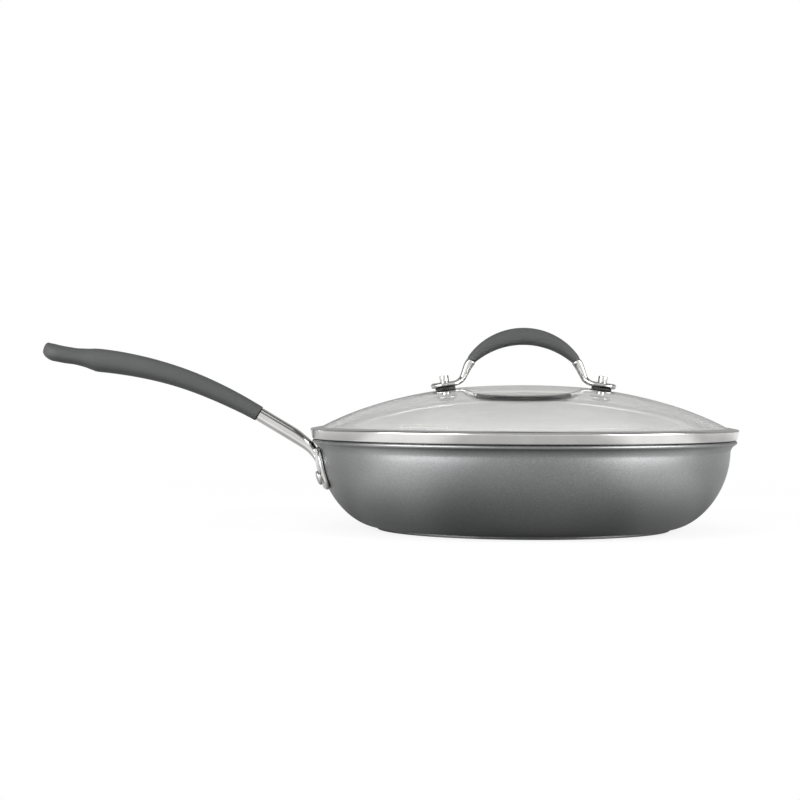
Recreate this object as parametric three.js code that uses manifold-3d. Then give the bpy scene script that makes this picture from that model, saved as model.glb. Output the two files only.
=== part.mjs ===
// Covered skillet: a spun pan with a long riveted handle, and a domed glass lid that lifts off.
// Millimetres, +Z up. The origin is the middle of the pan's base and the long handle points to -X.
import * as THREE from "three";
import { mergeVertices } from "three/addons/utils/BufferGeometryUtils.js";
import Module from "manifold-3d";

const wasm = await Module();
wasm.setup();
const degrees = THREE.MathUtils.degToRad;

// Fits and facets
const FIT_GAP = 0.3; // between pieces that touch
const RING_FACETS = 48; // round the pan and the lid
const SMALL_FACETS = 16; // round rivets, screws and gaskets
const SWEEP_FACETS = 12; // round a handle section
const CURVE_STEPS = 8; // along the rounded corner of the pan
const BEND_STEPS = 3; // along a lip or a small bend
const CUT_MARGIN = 5; // how far a cutting tool runs past what it cuts

// Pan body
const LIP_RADIUS = 152.5;
const LIP_OVERHANG = 4.7; // lip beyond the outside of the wall
const LIP_FLARE = degrees(65); // how far the lip leans out from upright
const PAN_HEIGHT = 64.5;
const PAN_WALL = 2.8;
const BASE_RADIUS = 105.5;
const BASE_STEP = 1.8; // height of the flat disc that the pan stands on
const BASE_EDGE = 0.6; // chamfer round the base
const WALL_LEAN = degrees(2); // wall from upright, just under the lip
const FLOOR_FULLNESS = 0.43; // pull of the rounded corner along the floor
const WALL_FULLNESS = 0.56; // pull of the rounded corner up the wall

// Riveted flange of the pan handle
const FLANGE_SHEET = 2.8;
const FLANGE_WIDTH = 70;
const FLANGE_HEIGHT = 29;
const FLANGE_DROP = 5.5; // top of the flange below the top of the lip
const FLANGE_CORNER = 7;
const RIVET_INSET = 11; // rivets in from the ends of the flange
const RIVET_RISE = 8.5; // rivets above the flange's lower edge
const RIVET_SHANK = 5.2;
const RIVET_HEAD = 10.4;
const RIVET_HEAD_HEIGHT = 2.6;
const RIVET_RIM = 0.9; // upright edge below the dome of the head
const RIVET_INNER_HEAD = 11.6;
const RIVET_INNER_HEIGHT = 1.8;
const RIVET_INNER_EDGE = 0.6;

// Course of the pan handle, from its toe on the flange to its tip
const TOE_RISE = 4; // toe above the flange's lower edge
const TOE_SINK = 2.4; // middle of the toe behind the wall's outer face
const TOE_SLOPE = degrees(76);
const TOE_LENGTH = 13.4;
const NECK_BEND = 20.6;
const NECK_SLOPE = degrees(30.7);
const NECK_LENGTH = 45.1;
const GRIP_BEND = 285;
const GRIP_SLOPE = degrees(6.3); // flattest stretch of the grip
const TIP_BEND = 345;
const TIP_SLOPE = degrees(13.2);

// Sections of the pan handle
const TOE_WIDTH = 19;
const TOE_THICKNESS = 8.2;
const NECK_WIDTH = 18;
const NECK_THICKNESS = 10;
const TANG_WIDTH = 14;
const TANG_THICKNESS = 7;
const EYE_WIDTH = 21;
const EYE_THICKNESS = 5;
const GRIP_FRONT = 73.8; // bare steel along the handle, toe to grip
const GRIP_FRONT_WIDTH = 21;
const GRIP_FRONT_THICKNESS = 11.4;
const GRIP_MIDDLE_WIDTH = 25;
const GRIP_MIDDLE_THICKNESS = 14.3;
const GRIP_SWELL_WIDTH = 28;
const GRIP_SWELL_THICKNESS = 16.8;
const GRIP_SWELL_FROM_TIP = 41;
const LOOP_WIDTH = 27;
const LOOP_THICKNESS = 12.6;
const LOOP_LENGTH = 29;
const LOOP_END_ROUNDING = 6;
const SLEEVE_END = 2.4; // silicone past the end of the tang
const SLOT_LENGTH = 20;
const SLOT_WIDTH = 10;
const SLOT_FROM_TIP = 18;
const SLOT_LINING = 1.6; // silicone between the slot and the steel eye
const SHOULDER = 0.5; // step in the steel where a sleeve ends
const SECTION_SQUARENESS = 2.6;

// Lid rim
const SHEET = 0.6; // rolled steel
const SEAL = 0.5;
const SKIRT_PLAY = 1.2; // skirt inside the mouth of the pan
const SKIRT_DEPTH = 4.5;
const BAND_FLARE = 0.7; // extra room outside the seal at the top of the band
const BAND_RAISE = 1.6; // top of the band above the edge of the glass
const BAND_BEND = 0.8;
const BAND_LAP = 4.1; // rolled edge over the glass
const SEAL_LAP = 2.4; // seal under the glass
const SEAL_DROP = 0.5; // top of the seal below the top of the glass edge

// Lid glass
const GLASS = 3.6;
const GLASS_INSET = 0.9; // glass edge inside the lip radius
const GLASS_BEVEL = 1; // ground lower corner of the edge
const DOME_RISE = 34.3;
const DOME_ROUNDNESS = 0.79;
const RECESS_HALF_LENGTH = 47;
const RECESS_HALF_WIDTH = 27;
const RECESS_WALL = 16; // along the oval, and in proportion across it
const RECESS_DEPTH = 8.3;
const RECESS_RINGS = 7;
const DOME_RINGS = 5;

// Lid handle and its fastenings
const FOOT_SPAN = 112.6; // screw to screw
const FOOT_RADIUS = 10.3;
const FOOT_THICKNESS = 3.9;
const FOOT_FLAT = 6; // flat of the foot on the inner side of the screw
const FOOT_BEND = 9;
const LEG_SLOPE = degrees(68);
const LEG_LENGTH = 7;
const LEG_BEND = 16; // from the leg into the crest
const LEG_WIDTH = 12;
const LEG_THICKNESS = 7; // at the grip
const ANKLE_THICKNESS = 5; // above the foot
const CREST_SPREAD = degrees(50); // from the crest to each leg's bend
const CREST_WIDTH = 8;
const CREST_THICKNESS = 3.2;
const LID_GRIP_SPREAD = degrees(49.5); // from the crest to each end of the grip
const LID_GRIP_WIDTH = 17;
const LID_GRIP_THICKNESS = 12.4;
const LID_GRIP_END_WIDTH = 12.8;
const LID_GRIP_END_THICKNESS = 6.4;
const UPPER_GASKET = 14.6;
const UPPER_GASKET_HEIGHT = 0.8;
const LOWER_GASKET = 15;
const LOWER_GASKET_HEIGHT = 1;
const WASHER = 14.4;
const WASHER_HEIGHT = 0.8;
const SCREW = 4;
const SCREW_HEAD = 12;
const SCREW_HEAD_HEIGHT = 1.6;
const GLASS_HOLE = 7;
const NUT = 6.7;
const NUT_HEIGHT = 4.2;
const NUT_CROWN = 1; // closed end of the barrel nut
const NUT_EDGE = 0.5;

// Finishes
const FINISHES = {
  anodised: { color: 0x5c5f60, roughness: 0.45, metalness: 0.8 },
  steel: { color: 0xc4c4c2, roughness: 0.25, metalness: 1 },
  silicone: { color: 0x55575a, roughness: 0.75, metalness: 0 },
  seal: { color: 0x232425, roughness: 0.7, metalness: 0 },
  glass: { color: 0xd5dad8, roughness: 0.05, metalness: 0, transparent: true, opacity: 0.35 },
};

function node(name, geometry, finish) {
  const mesh = new THREE.Mesh(geometry, new THREE.MeshStandardMaterial(FINISHES[finish]));
  mesh.name = name;
  return mesh;
}

function point(x, y) {
  return new THREE.Vector2(x, y);
}

// A point that lies a given way to the left of a heading, in a plane
function beside(place, heading, distance) {
  return point(place.x - Math.sin(heading) * distance, place.y + Math.cos(heading) * distance);
}

// Solids: closed triangle skins that can be joined and cut

function solid(geometry) {
  const skin = new THREE.BufferGeometry();
  skin.setAttribute("position", geometry.getAttribute("position"));
  skin.setIndex(geometry.getIndex());
  const merged = mergeVertices(skin);
  const corners = merged.getIndex().array;
  const triVerts = [];
  for (let first = 0; first < corners.length; first += 3) {
    const [a, b, c] = corners.slice(first, first + 3);
    if (a !== b && b !== c && c !== a) triVerts.push(a, b, c);
  }
  const vertProperties = merged.getAttribute("position").array;
  const mesh = new wasm.Mesh({ numProp: 3, vertProperties, triVerts: Uint32Array.from(triVerts) });
  return new wasm.Manifold(mesh);
}

function geometryOf(body) {
  const mesh = body.getMesh();
  const geometry = new THREE.BufferGeometry();
  geometry.setAttribute("position", new THREE.BufferAttribute(mesh.vertProperties, mesh.numProp));
  geometry.setIndex(new THREE.BufferAttribute(mesh.triVerts, 1));
  geometry.computeVertexNormals();
  return geometry;
}

// Turned solid about Z, from an outline of (radius, height) points
function turned(outline, facets = RING_FACETS) {
  const rising = THREE.ShapeUtils.area(outline) > 0 ? outline : outline.toReversed();
  return new THREE.LatheGeometry(rising, facets).rotateX(Math.PI / 2);
}

function turnedRing(outline, facets = RING_FACETS) {
  return turned([...outline, outline[0]], facets);
}

// Plain round bar on Z between two heights
function roundBar(diameter, low, high) {
  const bar = new THREE.CylinderGeometry(diameter / 2, diameter / 2, high - low, SMALL_FACETS);
  return bar.rotateX(Math.PI / 2).translate(0, 0, (low + high) / 2);
}

// Flat ring on Z
function collar(diameter, hole, low, high) {
  const outline = [
    point(hole / 2, low),
    point(diameter / 2, low),
    point(diameter / 2, high),
    point(hole / 2, high),
  ];
  return turnedRing(outline, SMALL_FACETS);
}

// Chain of points that runs a distance to the left of another chain, with mitred corners
function chainBeside(chain, distance) {
  return chain.map((place, index) => {
    const before = chain[index - 1] ?? place.clone().multiplyScalar(2).sub(chain[1]);
    const after = chain[index + 1] ?? place.clone().multiplyScalar(2).sub(before);
    const arriving = place.clone().sub(before).angle();
    const leaving = after.clone().sub(place).angle();
    const turn = Math.atan2(Math.sin(leaving - arriving), Math.cos(leaving - arriving));
    return beside(place, arriving + turn / 2, distance / Math.cos(turn / 2));
  });
}

// Strip between two lines beside a chain of points
function stripOutline(chain, left, right) {
  return [...chainBeside(chain, left), ...chainBeside(chain, right).reverse()];
}

function bend(centre, radius, from, to) {
  const corner = [];
  for (let step = 0; step <= BEND_STEPS; step += 1) {
    const angle = THREE.MathUtils.lerp(from, to, step / BEND_STEPS);
    corner.push(point(centre.x + radius * Math.cos(angle), centre.y + radius * Math.sin(angle)));
  }
  return corner;
}

// Course in a plane, made of straight runs and arcs. It gives the place and heading at any distance along it.
function makeCourse(start, heading, runs) {
  const length = runs.reduce((sum, run) => sum + run.length, 0);
  function at(distance) {
    let place = start.clone();
    let direction = heading;
    let left = distance;
    runs.forEach((run, index) => {
      const last = index === runs.length - 1;
      const step = last ? left : Math.min(left, run.length);
      const turn = (run.turn ?? 0) * step / run.length;
      const chord = turn === 0 ? step : step * Math.sin(turn / 2) / (turn / 2);
      const along = direction + turn / 2;
      place = point(place.x + chord * Math.cos(along), place.y + chord * Math.sin(along));
      direction += turn;
      left -= step;
    });
    return { place, heading: direction };
  }
  return { at, length };
}

function arcRun(radius, turn) {
  return { length: radius * Math.abs(turn), turn };
}

// Width and thickness at a distance, straight between key sections
function sectionAt(keys, distance) {
  const after = keys.findIndex((key) => key.at >= distance);
  if (after === 0) return keys[0];
  if (after < 0) return keys.at(-1);
  const [low, high] = [keys[after - 1], keys[after]];
  const share = (distance - low.at) / (high.at - low.at);
  return {
    width: THREE.MathUtils.lerp(low.width, high.width, share),
    thickness: THREE.MathUtils.lerp(low.thickness, high.thickness, share),
  };
}

// Share of the full section left at a distance from a rounded end
function roundedEnd(distance, reach) {
  return distance >= reach ? 1 : Math.sqrt(1 - (1 - distance / reach) ** 2);
}

function squareRound(value) {
  return Math.sign(value) * Math.abs(value) ** (2 / SECTION_SQUARENESS);
}

// Ring of points round a course in the XZ plane, with the section's width along Y
function sectionRing(course, distance, section) {
  const { place, heading } = course.at(distance);
  const ring = [];
  for (let facet = 0; facet < SWEEP_FACETS; facet += 1) {
    const angle = 2 * Math.PI * facet / SWEEP_FACETS;
    const across = squareRound(Math.cos(angle)) * section.width / 2;
    const spot = beside(place, heading, squareRound(Math.sin(angle)) * section.thickness / 2);
    ring.push(new THREE.Vector3(spot.x, across, spot.y));
  }
  return ring;
}

// Closed skin through rings of points
function skin(rings) {
  const count = rings[0].length;
  const ends = [rings[0], rings.at(-1)].map((ring) => {
    return ring.reduce((sum, corner) => sum.add(corner), new THREE.Vector3()).divideScalar(count);
  });
  const corners = [...rings.flat(), ...ends];
  const [firstEnd, lastEnd] = [corners.length - 2, corners.length - 1];
  const lastRing = (rings.length - 1) * count;
  const faces = [];
  for (let facet = 0; facet < count; facet += 1) {
    const next = (facet + 1) % count;
    for (let ring = 0; ring < lastRing; ring += count) {
      faces.push(ring + facet, ring + next, ring + count + next);
      faces.push(ring + facet, ring + count + next, ring + count + facet);
    }
    faces.push(firstEnd, next, facet);
    faces.push(lastEnd, lastRing + facet, lastRing + next);
  }
  const geometry = new THREE.BufferGeometry().setFromPoints(corners);
  geometry.setIndex(faces);
  return geometry;
}

function sweep(course, distances, section) {
  return skin(distances.map((distance) => sectionRing(course, distance, section(distance))));
}

function spread(from, to, steps) {
  return Array.from({ length: steps + 1 }, (_, step) => THREE.MathUtils.lerp(from, to, step / steps));
}

function inOrder(distances) {
  return [...new Set(distances)].sort((a, b) => a - b);
}

// Pan body: outside of the shell as places with a heading, from the base up to the lip

const WALL_RADIUS = LIP_RADIUS - LIP_OVERHANG;
const BEAD = PAN_WALL / 2;
const FLARE_TURN = LIP_FLARE - WALL_LEAN;
const FLARE_SPREAD = Math.cos(WALL_LEAN) - Math.cos(LIP_FLARE);
const FLARE_BEND = (LIP_OVERHANG - BEAD * (1 - Math.cos(LIP_FLARE))) / FLARE_SPREAD;
const FLARE_RISE = FLARE_BEND * (Math.sin(LIP_FLARE) - Math.sin(WALL_LEAN));
const WALL_TOP = PAN_HEIGHT - BEAD * (1 + Math.sin(LIP_FLARE)) - FLARE_RISE;

function cornerCurve() {
  const start = point(BASE_RADIUS, BASE_STEP);
  const end = point(WALL_RADIUS, WALL_TOP);
  const run = end.clone().sub(start);
  const rise = WALL_FULLNESS * run.y;
  const floorPull = point(start.x + FLOOR_FULLNESS * run.x, start.y);
  const wallPull = point(end.x - rise * Math.tan(WALL_LEAN), end.y - rise);
  return new THREE.CubicBezierCurve(start, floorPull, wallPull, end);
}

function shellCourse() {
  const corner = cornerCurve();
  const shell = [];
  for (let step = 0; step < CURVE_STEPS; step += 1) {
    const share = step / CURVE_STEPS;
    shell.push({ place: corner.getPoint(share), heading: corner.getTangent(share).angle() });
  }
  const upright = Math.PI / 2;
  const flare = makeCourse(point(WALL_RADIUS, WALL_TOP), upright - WALL_LEAN, [arcRun(FLARE_BEND, -FLARE_TURN)]);
  spread(0, flare.length, BEND_STEPS).forEach((distance) => shell.push(flare.at(distance)));
  return shell;
}

const SHELL = shellCourse();
const LIP = SHELL.at(-1);
const LIP_CENTRE = beside(LIP.place, LIP.heading, BEAD);

function shellOffset(distance) {
  return SHELL.map(({ place, heading }) => beside(place, heading, distance));
}

// Half round of the lip, from its outside to its inside, at a distance from the bead
function lipRound(distance) {
  const outside = LIP.heading - Math.PI / 2;
  return bend(LIP_CENTRE, BEAD + distance, outside, LIP.heading + Math.PI / 2).slice(1, -1);
}

function panOutline() {
  const floor = BASE_STEP + PAN_WALL;
  const base = [point(0, 0), point(BASE_RADIUS - BASE_EDGE, 0), point(BASE_RADIUS, BASE_EDGE)];
  const inside = shellOffset(PAN_WALL).reverse();
  return [...base, ...shellOffset(0), ...lipRound(0), ...inside, point(0, floor)];
}

// Everything within a distance of the pan's outside, as one turned solid
function panEnvelope(distance) {
  const outside = shellOffset(-distance);
  const round = lipRound(distance);
  const outline = [point(0, outside[0].y), ...outside, ...round, point(0, round.at(-1).y)];
  return solid(turned(outline));
}

// Place and heading of the outside of the wall at a height
function wallAt(height) {
  const corner = cornerCurve();
  const shares = { low: 0, high: 1 };
  const halvings = 40;
  for (let step = 0; step < halvings; step += 1) {
    const middle = (shares.low + shares.high) / 2;
    shares[corner.getPoint(middle).y < height ? "low" : "high"] = middle;
  }
  return { place: corner.getPoint(shares.low), heading: corner.getTangent(shares.low).angle() };
}

// Rivets of the pan handle

const FLANGE_TOP = PAN_HEIGHT - FLANGE_DROP;
const FLANGE_BOTTOM = FLANGE_TOP - FLANGE_HEIGHT;
const RIVET_WALL = wallAt(FLANGE_BOTTOM + RIVET_RISE);
const RIVET_TURN = Math.asin((FLANGE_WIDTH / 2 - RIVET_INSET) / RIVET_WALL.place.x);
const FACET_SAG = LIP_RADIUS * (1 - Math.cos(Math.PI / RING_FACETS)); // flat facets inside the round wall
const HEAD_SAG = RIVET_INNER_HEAD ** 2 / 4 / RIVET_WALL.place.x; // hollow wall under a flat head, both ways
const RIVET_SEAT = FIT_GAP + FACET_SAG + HEAD_SAG;

// Frame on the wall with +Z straight out through the rivet. side is -1 for the near rivet, 1 for the far one.
function rivetFrame(side) {
  const radial = new THREE.Group();
  radial.rotation.z = Math.PI - side * RIVET_TURN;
  const frame = new THREE.Group();
  frame.position.set(RIVET_WALL.place.x, 0, RIVET_WALL.place.y);
  frame.rotation.y = Math.PI - RIVET_WALL.heading;
  radial.add(frame);
  radial.updateMatrixWorld(true);
  return { radial, frame };
}

function rivetGeometry() {
  const inner = -PAN_WALL - RIVET_SEAT;
  const outer = FLANGE_SHEET + 2 * FIT_GAP;
  const domeRadius = RIVET_HEAD / 2;
  const domeHeight = RIVET_HEAD_HEIGHT - RIVET_RIM;
  const dome = spread(0, Math.PI / 2, BEND_STEPS).map((angle) => {
    return point(domeRadius * Math.cos(angle), outer + RIVET_RIM + domeHeight * Math.sin(angle));
  });
  const outline = [
    point(0, inner - RIVET_INNER_HEIGHT),
    point(RIVET_INNER_HEAD / 2 - RIVET_INNER_EDGE, inner - RIVET_INNER_HEIGHT),
    point(RIVET_INNER_HEAD / 2, inner - RIVET_INNER_HEIGHT + RIVET_INNER_EDGE),
    point(RIVET_INNER_HEAD / 2, inner),
    point(RIVET_SHANK / 2, inner),
    point(RIVET_SHANK / 2, outer),
    point(domeRadius, outer),
    ...dome.slice(0, -1),
    point(0, outer + RIVET_HEAD_HEIGHT),
  ];
  return turned(outline, SMALL_FACETS);
}

function rivetHole(side) {
  const hole = roundBar(RIVET_SHANK + 2 * FIT_GAP, -PAN_WALL - CUT_MARGIN, FLANGE_SHEET + CUT_MARGIN);
  return solid(hole.applyMatrix4(rivetFrame(side).frame.matrixWorld));
}

const RIVET_SIDES = { near: -1, far: 1 };

function withRivetHoles(body) {
  return Object.values(RIVET_SIDES).reduce((left, side) => left.subtract(rivetHole(side)), body);
}

function panBody() {
  return node("pan_body", geometryOf(withRivetHoles(solid(turned(panOutline())))), "anodised");
}

function rivet(name, side) {
  const { radial, frame } = rivetFrame(side);
  frame.add(node(`${name}_rivet`, rivetGeometry(), "steel"));
  return radial;
}

// Course of the pan handle in the XZ plane, running to -X

function handleCourse() {
  const toe = wallAt(FLANGE_BOTTOM + TOE_RISE).place;
  const start = point(-toe.x + TOE_SINK, toe.y);
  return makeCourse(start, Math.PI - TOE_SLOPE, [
    { length: TOE_LENGTH },
    arcRun(NECK_BEND, TOE_SLOPE - NECK_SLOPE),
    { length: NECK_LENGTH },
    arcRun(GRIP_BEND, NECK_SLOPE - GRIP_SLOPE),
    arcRun(TIP_BEND, GRIP_SLOPE - TIP_SLOPE),
  ]);
}

const HANDLE = handleCourse();
const TANG_END = HANDLE.length - SLEEVE_END - FIT_GAP;
const LOOP_START = HANDLE.length - LOOP_LENGTH;
const NECK_STEPS = 10;
const GRIP_STEPS = 18;
const END_STEPS = 5;
const END_SLIVER = 0.02; // share of the end's rounding that the last section keeps clear of

// Distances near a rounded end, closer together towards it
function endDistances(end, reach) {
  return spread(0, 1, END_STEPS).map((share) => end - reach * Math.max((1 - share) ** 2, END_SLIVER));
}

// Section with an end that is rounded in plan
function eyeEnd(section, distance, end) {
  const width = section.width * roundedEnd(end - distance, section.width / 2);
  return { width, thickness: section.thickness };
}

function coreSection(distance) {
  const shoulder = GRIP_FRONT - FIT_GAP;
  const keys = [
    { at: TOE_LENGTH, width: TOE_WIDTH, thickness: TOE_THICKNESS },
    { at: shoulder - SHOULDER, width: NECK_WIDTH, thickness: NECK_THICKNESS },
    { at: shoulder, width: TANG_WIDTH, thickness: TANG_THICKNESS },
    { at: LOOP_START - EYE_WIDTH, width: TANG_WIDTH, thickness: TANG_THICKNESS },
    { at: LOOP_START, width: EYE_WIDTH, thickness: EYE_THICKNESS },
  ];
  return eyeEnd(sectionAt(keys, distance), distance, TANG_END);
}

// Room that the sleeve leaves for the tang
function tangRoom(distance) {
  const section = coreSection(Math.min(Math.max(distance, GRIP_FRONT), LOOP_START));
  const room = { width: section.width + 2 * FIT_GAP, thickness: section.thickness + 2 * FIT_GAP };
  return eyeEnd(room, distance, TANG_END + FIT_GAP);
}

// Long hole with round ends, square through the loop of the handle
function loopSlot(lengthways, across) {
  const straight = (lengthways - across) / 2;
  const outline = new THREE.Shape();
  outline.absarc(straight, 0, across / 2, -Math.PI / 2, Math.PI / 2);
  outline.absarc(-straight, 0, across / 2, Math.PI / 2, 3 * Math.PI / 2);
  const depth = 2 * LOOP_THICKNESS;
  const slot = new THREE.ExtrudeGeometry(outline, { depth, bevelEnabled: false, curveSegments: END_STEPS });
  const { place, heading } = HANDLE.at(HANDLE.length - SLOT_FROM_TIP);
  const frame = new THREE.Group();
  frame.position.set(place.x, 0, place.y);
  frame.rotation.y = -heading;
  frame.updateMatrixWorld(true);
  return solid(slot.translate(0, 0, -depth / 2).applyMatrix4(frame.matrixWorld));
}

function flangePlate() {
  const half = FLANGE_WIDTH / 2 - FLANGE_CORNER;
  const low = FLANGE_BOTTOM + FLANGE_CORNER;
  const high = FLANGE_TOP - FLANGE_CORNER;
  const outline = new THREE.Shape();
  outline.absarc(half, low, FLANGE_CORNER, -Math.PI / 2, 0);
  outline.absarc(half, high, FLANGE_CORNER, 0, Math.PI / 2);
  outline.absarc(-half, high, FLANGE_CORNER, Math.PI / 2, Math.PI);
  outline.absarc(-half, low, FLANGE_CORNER, Math.PI, 3 * Math.PI / 2);
  const block = new THREE.ExtrudeGeometry(outline, {
    depth: LIP_RADIUS,
    bevelEnabled: false,
    curveSegments: END_STEPS,
  });
  const [alongX, alongY, alongZ] = [0, 1, 2].map((axis) => new THREE.Vector3().setComponent(axis, 1));
  const towardsHandle = new THREE.Matrix4().makeBasis(alongY, alongZ, alongX);
  block.translate(0, 0, -LIP_RADIUS - FLANGE_CORNER).applyMatrix4(towardsHandle);
  return solid(block).intersect(panEnvelope(FLANGE_SHEET + FIT_GAP));
}

function panHandleCore() {
  const keyPlaces = [GRIP_FRONT - FIT_GAP - SHOULDER, GRIP_FRONT - FIT_GAP, LOOP_START - EYE_WIDTH, LOOP_START];
  const distances = inOrder([
    ...spread(0, GRIP_FRONT - FIT_GAP - SHOULDER, NECK_STEPS),
    ...spread(GRIP_FRONT, LOOP_START, GRIP_STEPS / 2),
    ...keyPlaces,
    ...endDistances(TANG_END, EYE_WIDTH / 2),
  ]);
  const bar = solid(sweep(HANDLE, distances, coreSection));
  const eye = loopSlot(SLOT_LENGTH + 2 * (SLOT_LINING + FIT_GAP), SLOT_WIDTH + 2 * (SLOT_LINING + FIT_GAP));
  const whole = bar.subtract(eye).add(flangePlate()).subtract(panEnvelope(FIT_GAP));
  return node("pan_handle_core", geometryOf(withRivetHoles(whole)), "steel");
}

function gripSection(distance) {
  const swell = HANDLE.length - GRIP_SWELL_FROM_TIP;
  const keys = [
    { at: GRIP_FRONT, width: GRIP_FRONT_WIDTH, thickness: GRIP_FRONT_THICKNESS },
    { at: (GRIP_FRONT + swell) / 2, width: GRIP_MIDDLE_WIDTH, thickness: GRIP_MIDDLE_THICKNESS },
    { at: swell, width: GRIP_SWELL_WIDTH, thickness: GRIP_SWELL_THICKNESS },
    { at: LOOP_START, width: LOOP_WIDTH, thickness: LOOP_THICKNESS },
  ];
  const section = eyeEnd(sectionAt(keys, distance), distance, HANDLE.length);
  section.thickness *= roundedEnd(HANDLE.length - distance, LOOP_END_ROUNDING);
  return section;
}

function panHandleGrip() {
  const swell = HANDLE.length - GRIP_SWELL_FROM_TIP;
  const outside = inOrder([
    ...spread(GRIP_FRONT, swell, GRIP_STEPS),
    ...spread(LOOP_START, HANDLE.length - LOOP_WIDTH / 2, 2),
    ...endDistances(HANDLE.length, LOOP_WIDTH / 2),
  ]);
  const inside = inOrder([
    ...spread(GRIP_FRONT - CUT_MARGIN, LOOP_START - EYE_WIDTH, GRIP_STEPS / 2),
    LOOP_START,
    ...endDistances(TANG_END + FIT_GAP, EYE_WIDTH / 2),
  ]);
  const lined = loopSlot(SLOT_LENGTH + 2 * SLOT_LINING, SLOT_WIDTH + 2 * SLOT_LINING);
  const room = solid(sweep(HANDLE, inside, tangRoom)).subtract(lined);
  const sleeve = solid(sweep(HANDLE, outside, gripSection)).subtract(room);
  return node("pan_handle_grip", geometryOf(sleeve.subtract(loopSlot(SLOT_LENGTH, SLOT_WIDTH))), "silicone");
}

// Lid, measured from the underside of its rim, which rests on the lip of the pan

const GLASS_RADIUS = LIP_RADIUS - GLASS_INSET;
const GLASS_FOOT = SHEET + SEAL + 2 * FIT_GAP; // where the underside of the glass meets its bevel
const FLATNESS = Math.sqrt(1 - DOME_ROUNDNESS ** 2);

function domeSlope(radius) {
  const share = DOME_ROUNDNESS * radius / GLASS_RADIUS;
  const scale = DOME_RISE / GLASS_RADIUS / (1 - FLATNESS);
  return scale * DOME_ROUNDNESS * share / Math.sqrt(1 - share ** 2);
}

// Top of the glass above its own edge
function domeRise(radius) {
  const share = DOME_ROUNDNESS * radius / GLASS_RADIUS;
  return DOME_RISE * (Math.sqrt(1 - share ** 2) - FLATNESS) / (1 - FLATNESS);
}

// Upright thickness of glass that is evenly thick along its own slope
function glassDepth(radius) {
  return GLASS * Math.hypot(1, domeSlope(radius));
}

const BEVEL_RADIUS = GLASS_RADIUS - GLASS_BEVEL;
const GLASS_TOP_EDGE = GLASS_FOOT + glassDepth(BEVEL_RADIUS) - domeRise(BEVEL_RADIUS);

function domeHeight(radius) {
  return GLASS_TOP_EDGE + domeRise(radius);
}

function glassUnderside(radius) {
  return point(radius, domeHeight(radius) - glassDepth(radius));
}

// How far the oval finger recess lowers the glass at a spot
function recessDrop(x, y) {
  const radius = Math.hypot(x, y);
  const oval = Math.hypot(x / RECESS_HALF_LENGTH, y / RECESS_HALF_WIDTH);
  const inwards = (1 - oval) * RECESS_HALF_LENGTH;
  const floor = domeHeight(0) - RECESS_DEPTH;
  return (domeHeight(radius) - floor) * THREE.MathUtils.smoothstep(inwards, 0, RECESS_WALL);
}

const FOOT_RADIAL = FOOT_SPAN / 2;
const FOOT_TILT = Math.atan(domeSlope(FOOT_RADIAL));

// Frame on the glass at a foot of the handle, with +Z along the screw. side is -1 on the left, 1 on the right.
function footFrame(side) {
  const frame = new THREE.Group();
  frame.position.set(side * FOOT_RADIAL, 0, domeHeight(FOOT_RADIAL));
  frame.rotation.y = side * FOOT_TILT;
  frame.updateMatrixWorld(true);
  return frame;
}

const FOOT_SIDES = { left: -1, right: 1 };

function footHole(side, diameter) {
  const reach = GLASS + UPPER_GASKET_HEIGHT + FOOT_THICKNESS + CUT_MARGIN;
  return solid(roundBar(diameter, -reach, reach).applyMatrix4(footFrame(side).matrixWorld));
}

function withFootHoles(body, diameter) {
  return Object.values(FOOT_SIDES).reduce((left, side) => left.subtract(footHole(side, diameter)), body);
}

function lidGlass() {
  const recessRadii = spread(0, RECESS_HALF_LENGTH, RECESS_RINGS);
  const upperRadii = inOrder([...recessRadii, ...spread(RECESS_HALF_LENGTH, GLASS_RADIUS, DOME_RINGS)]);
  const lowerRadii = inOrder([...recessRadii, ...spread(RECESS_HALF_LENGTH, BEVEL_RADIUS, DOME_RINGS)]);
  const upper = upperRadii.map((radius) => point(radius, domeHeight(radius)));
  const lower = lowerRadii.map(glassUnderside);
  const dome = turned([...lower, point(GLASS_RADIUS, GLASS_FOOT + GLASS_BEVEL), ...upper.reverse()]);
  const corners = dome.getAttribute("position");
  for (let corner = 0; corner < corners.count; corner += 1) {
    const drop = recessDrop(corners.getX(corner), corners.getY(corner));
    corners.setZ(corner, corners.getZ(corner) - drop);
  }
  return node("lid_glass", geometryOf(withFootHoles(solid(dome), GLASS_HOLE)), "glass");
}

// Rolled band: a skirt inside the pan, a seat on the lip, a side that leans out and an edge over the glass
function lidRimBand() {
  const skirt = WALL_RADIUS - PAN_WALL - SKIRT_PLAY - SHEET / 2;
  const seat = SHEET / 2;
  const topRadius = GLASS_RADIUS + SEAL + 2 * FIT_GAP + BAND_FLARE + SHEET / 2;
  const top = GLASS_TOP_EDGE + BAND_RAISE + SHEET / 2;
  const lap = GLASS_RADIUS - BAND_LAP;
  const lapHeight = domeHeight(lap) + (FIT_GAP + SHEET / 2) * Math.hypot(1, domeSlope(lap));
  const chain = [
    point(skirt, -SKIRT_DEPTH),
    point(skirt, seat),
    point(LIP_RADIUS - SHEET / 2, seat),
    point(topRadius, top - BAND_BEND),
    point(topRadius - BAND_BEND, top),
    point(lap, lapHeight),
  ];
  return node("lid_rim_band", turnedRing(stripOutline(chain, SHEET / 2, -SHEET / 2)), "steel");
}

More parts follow.
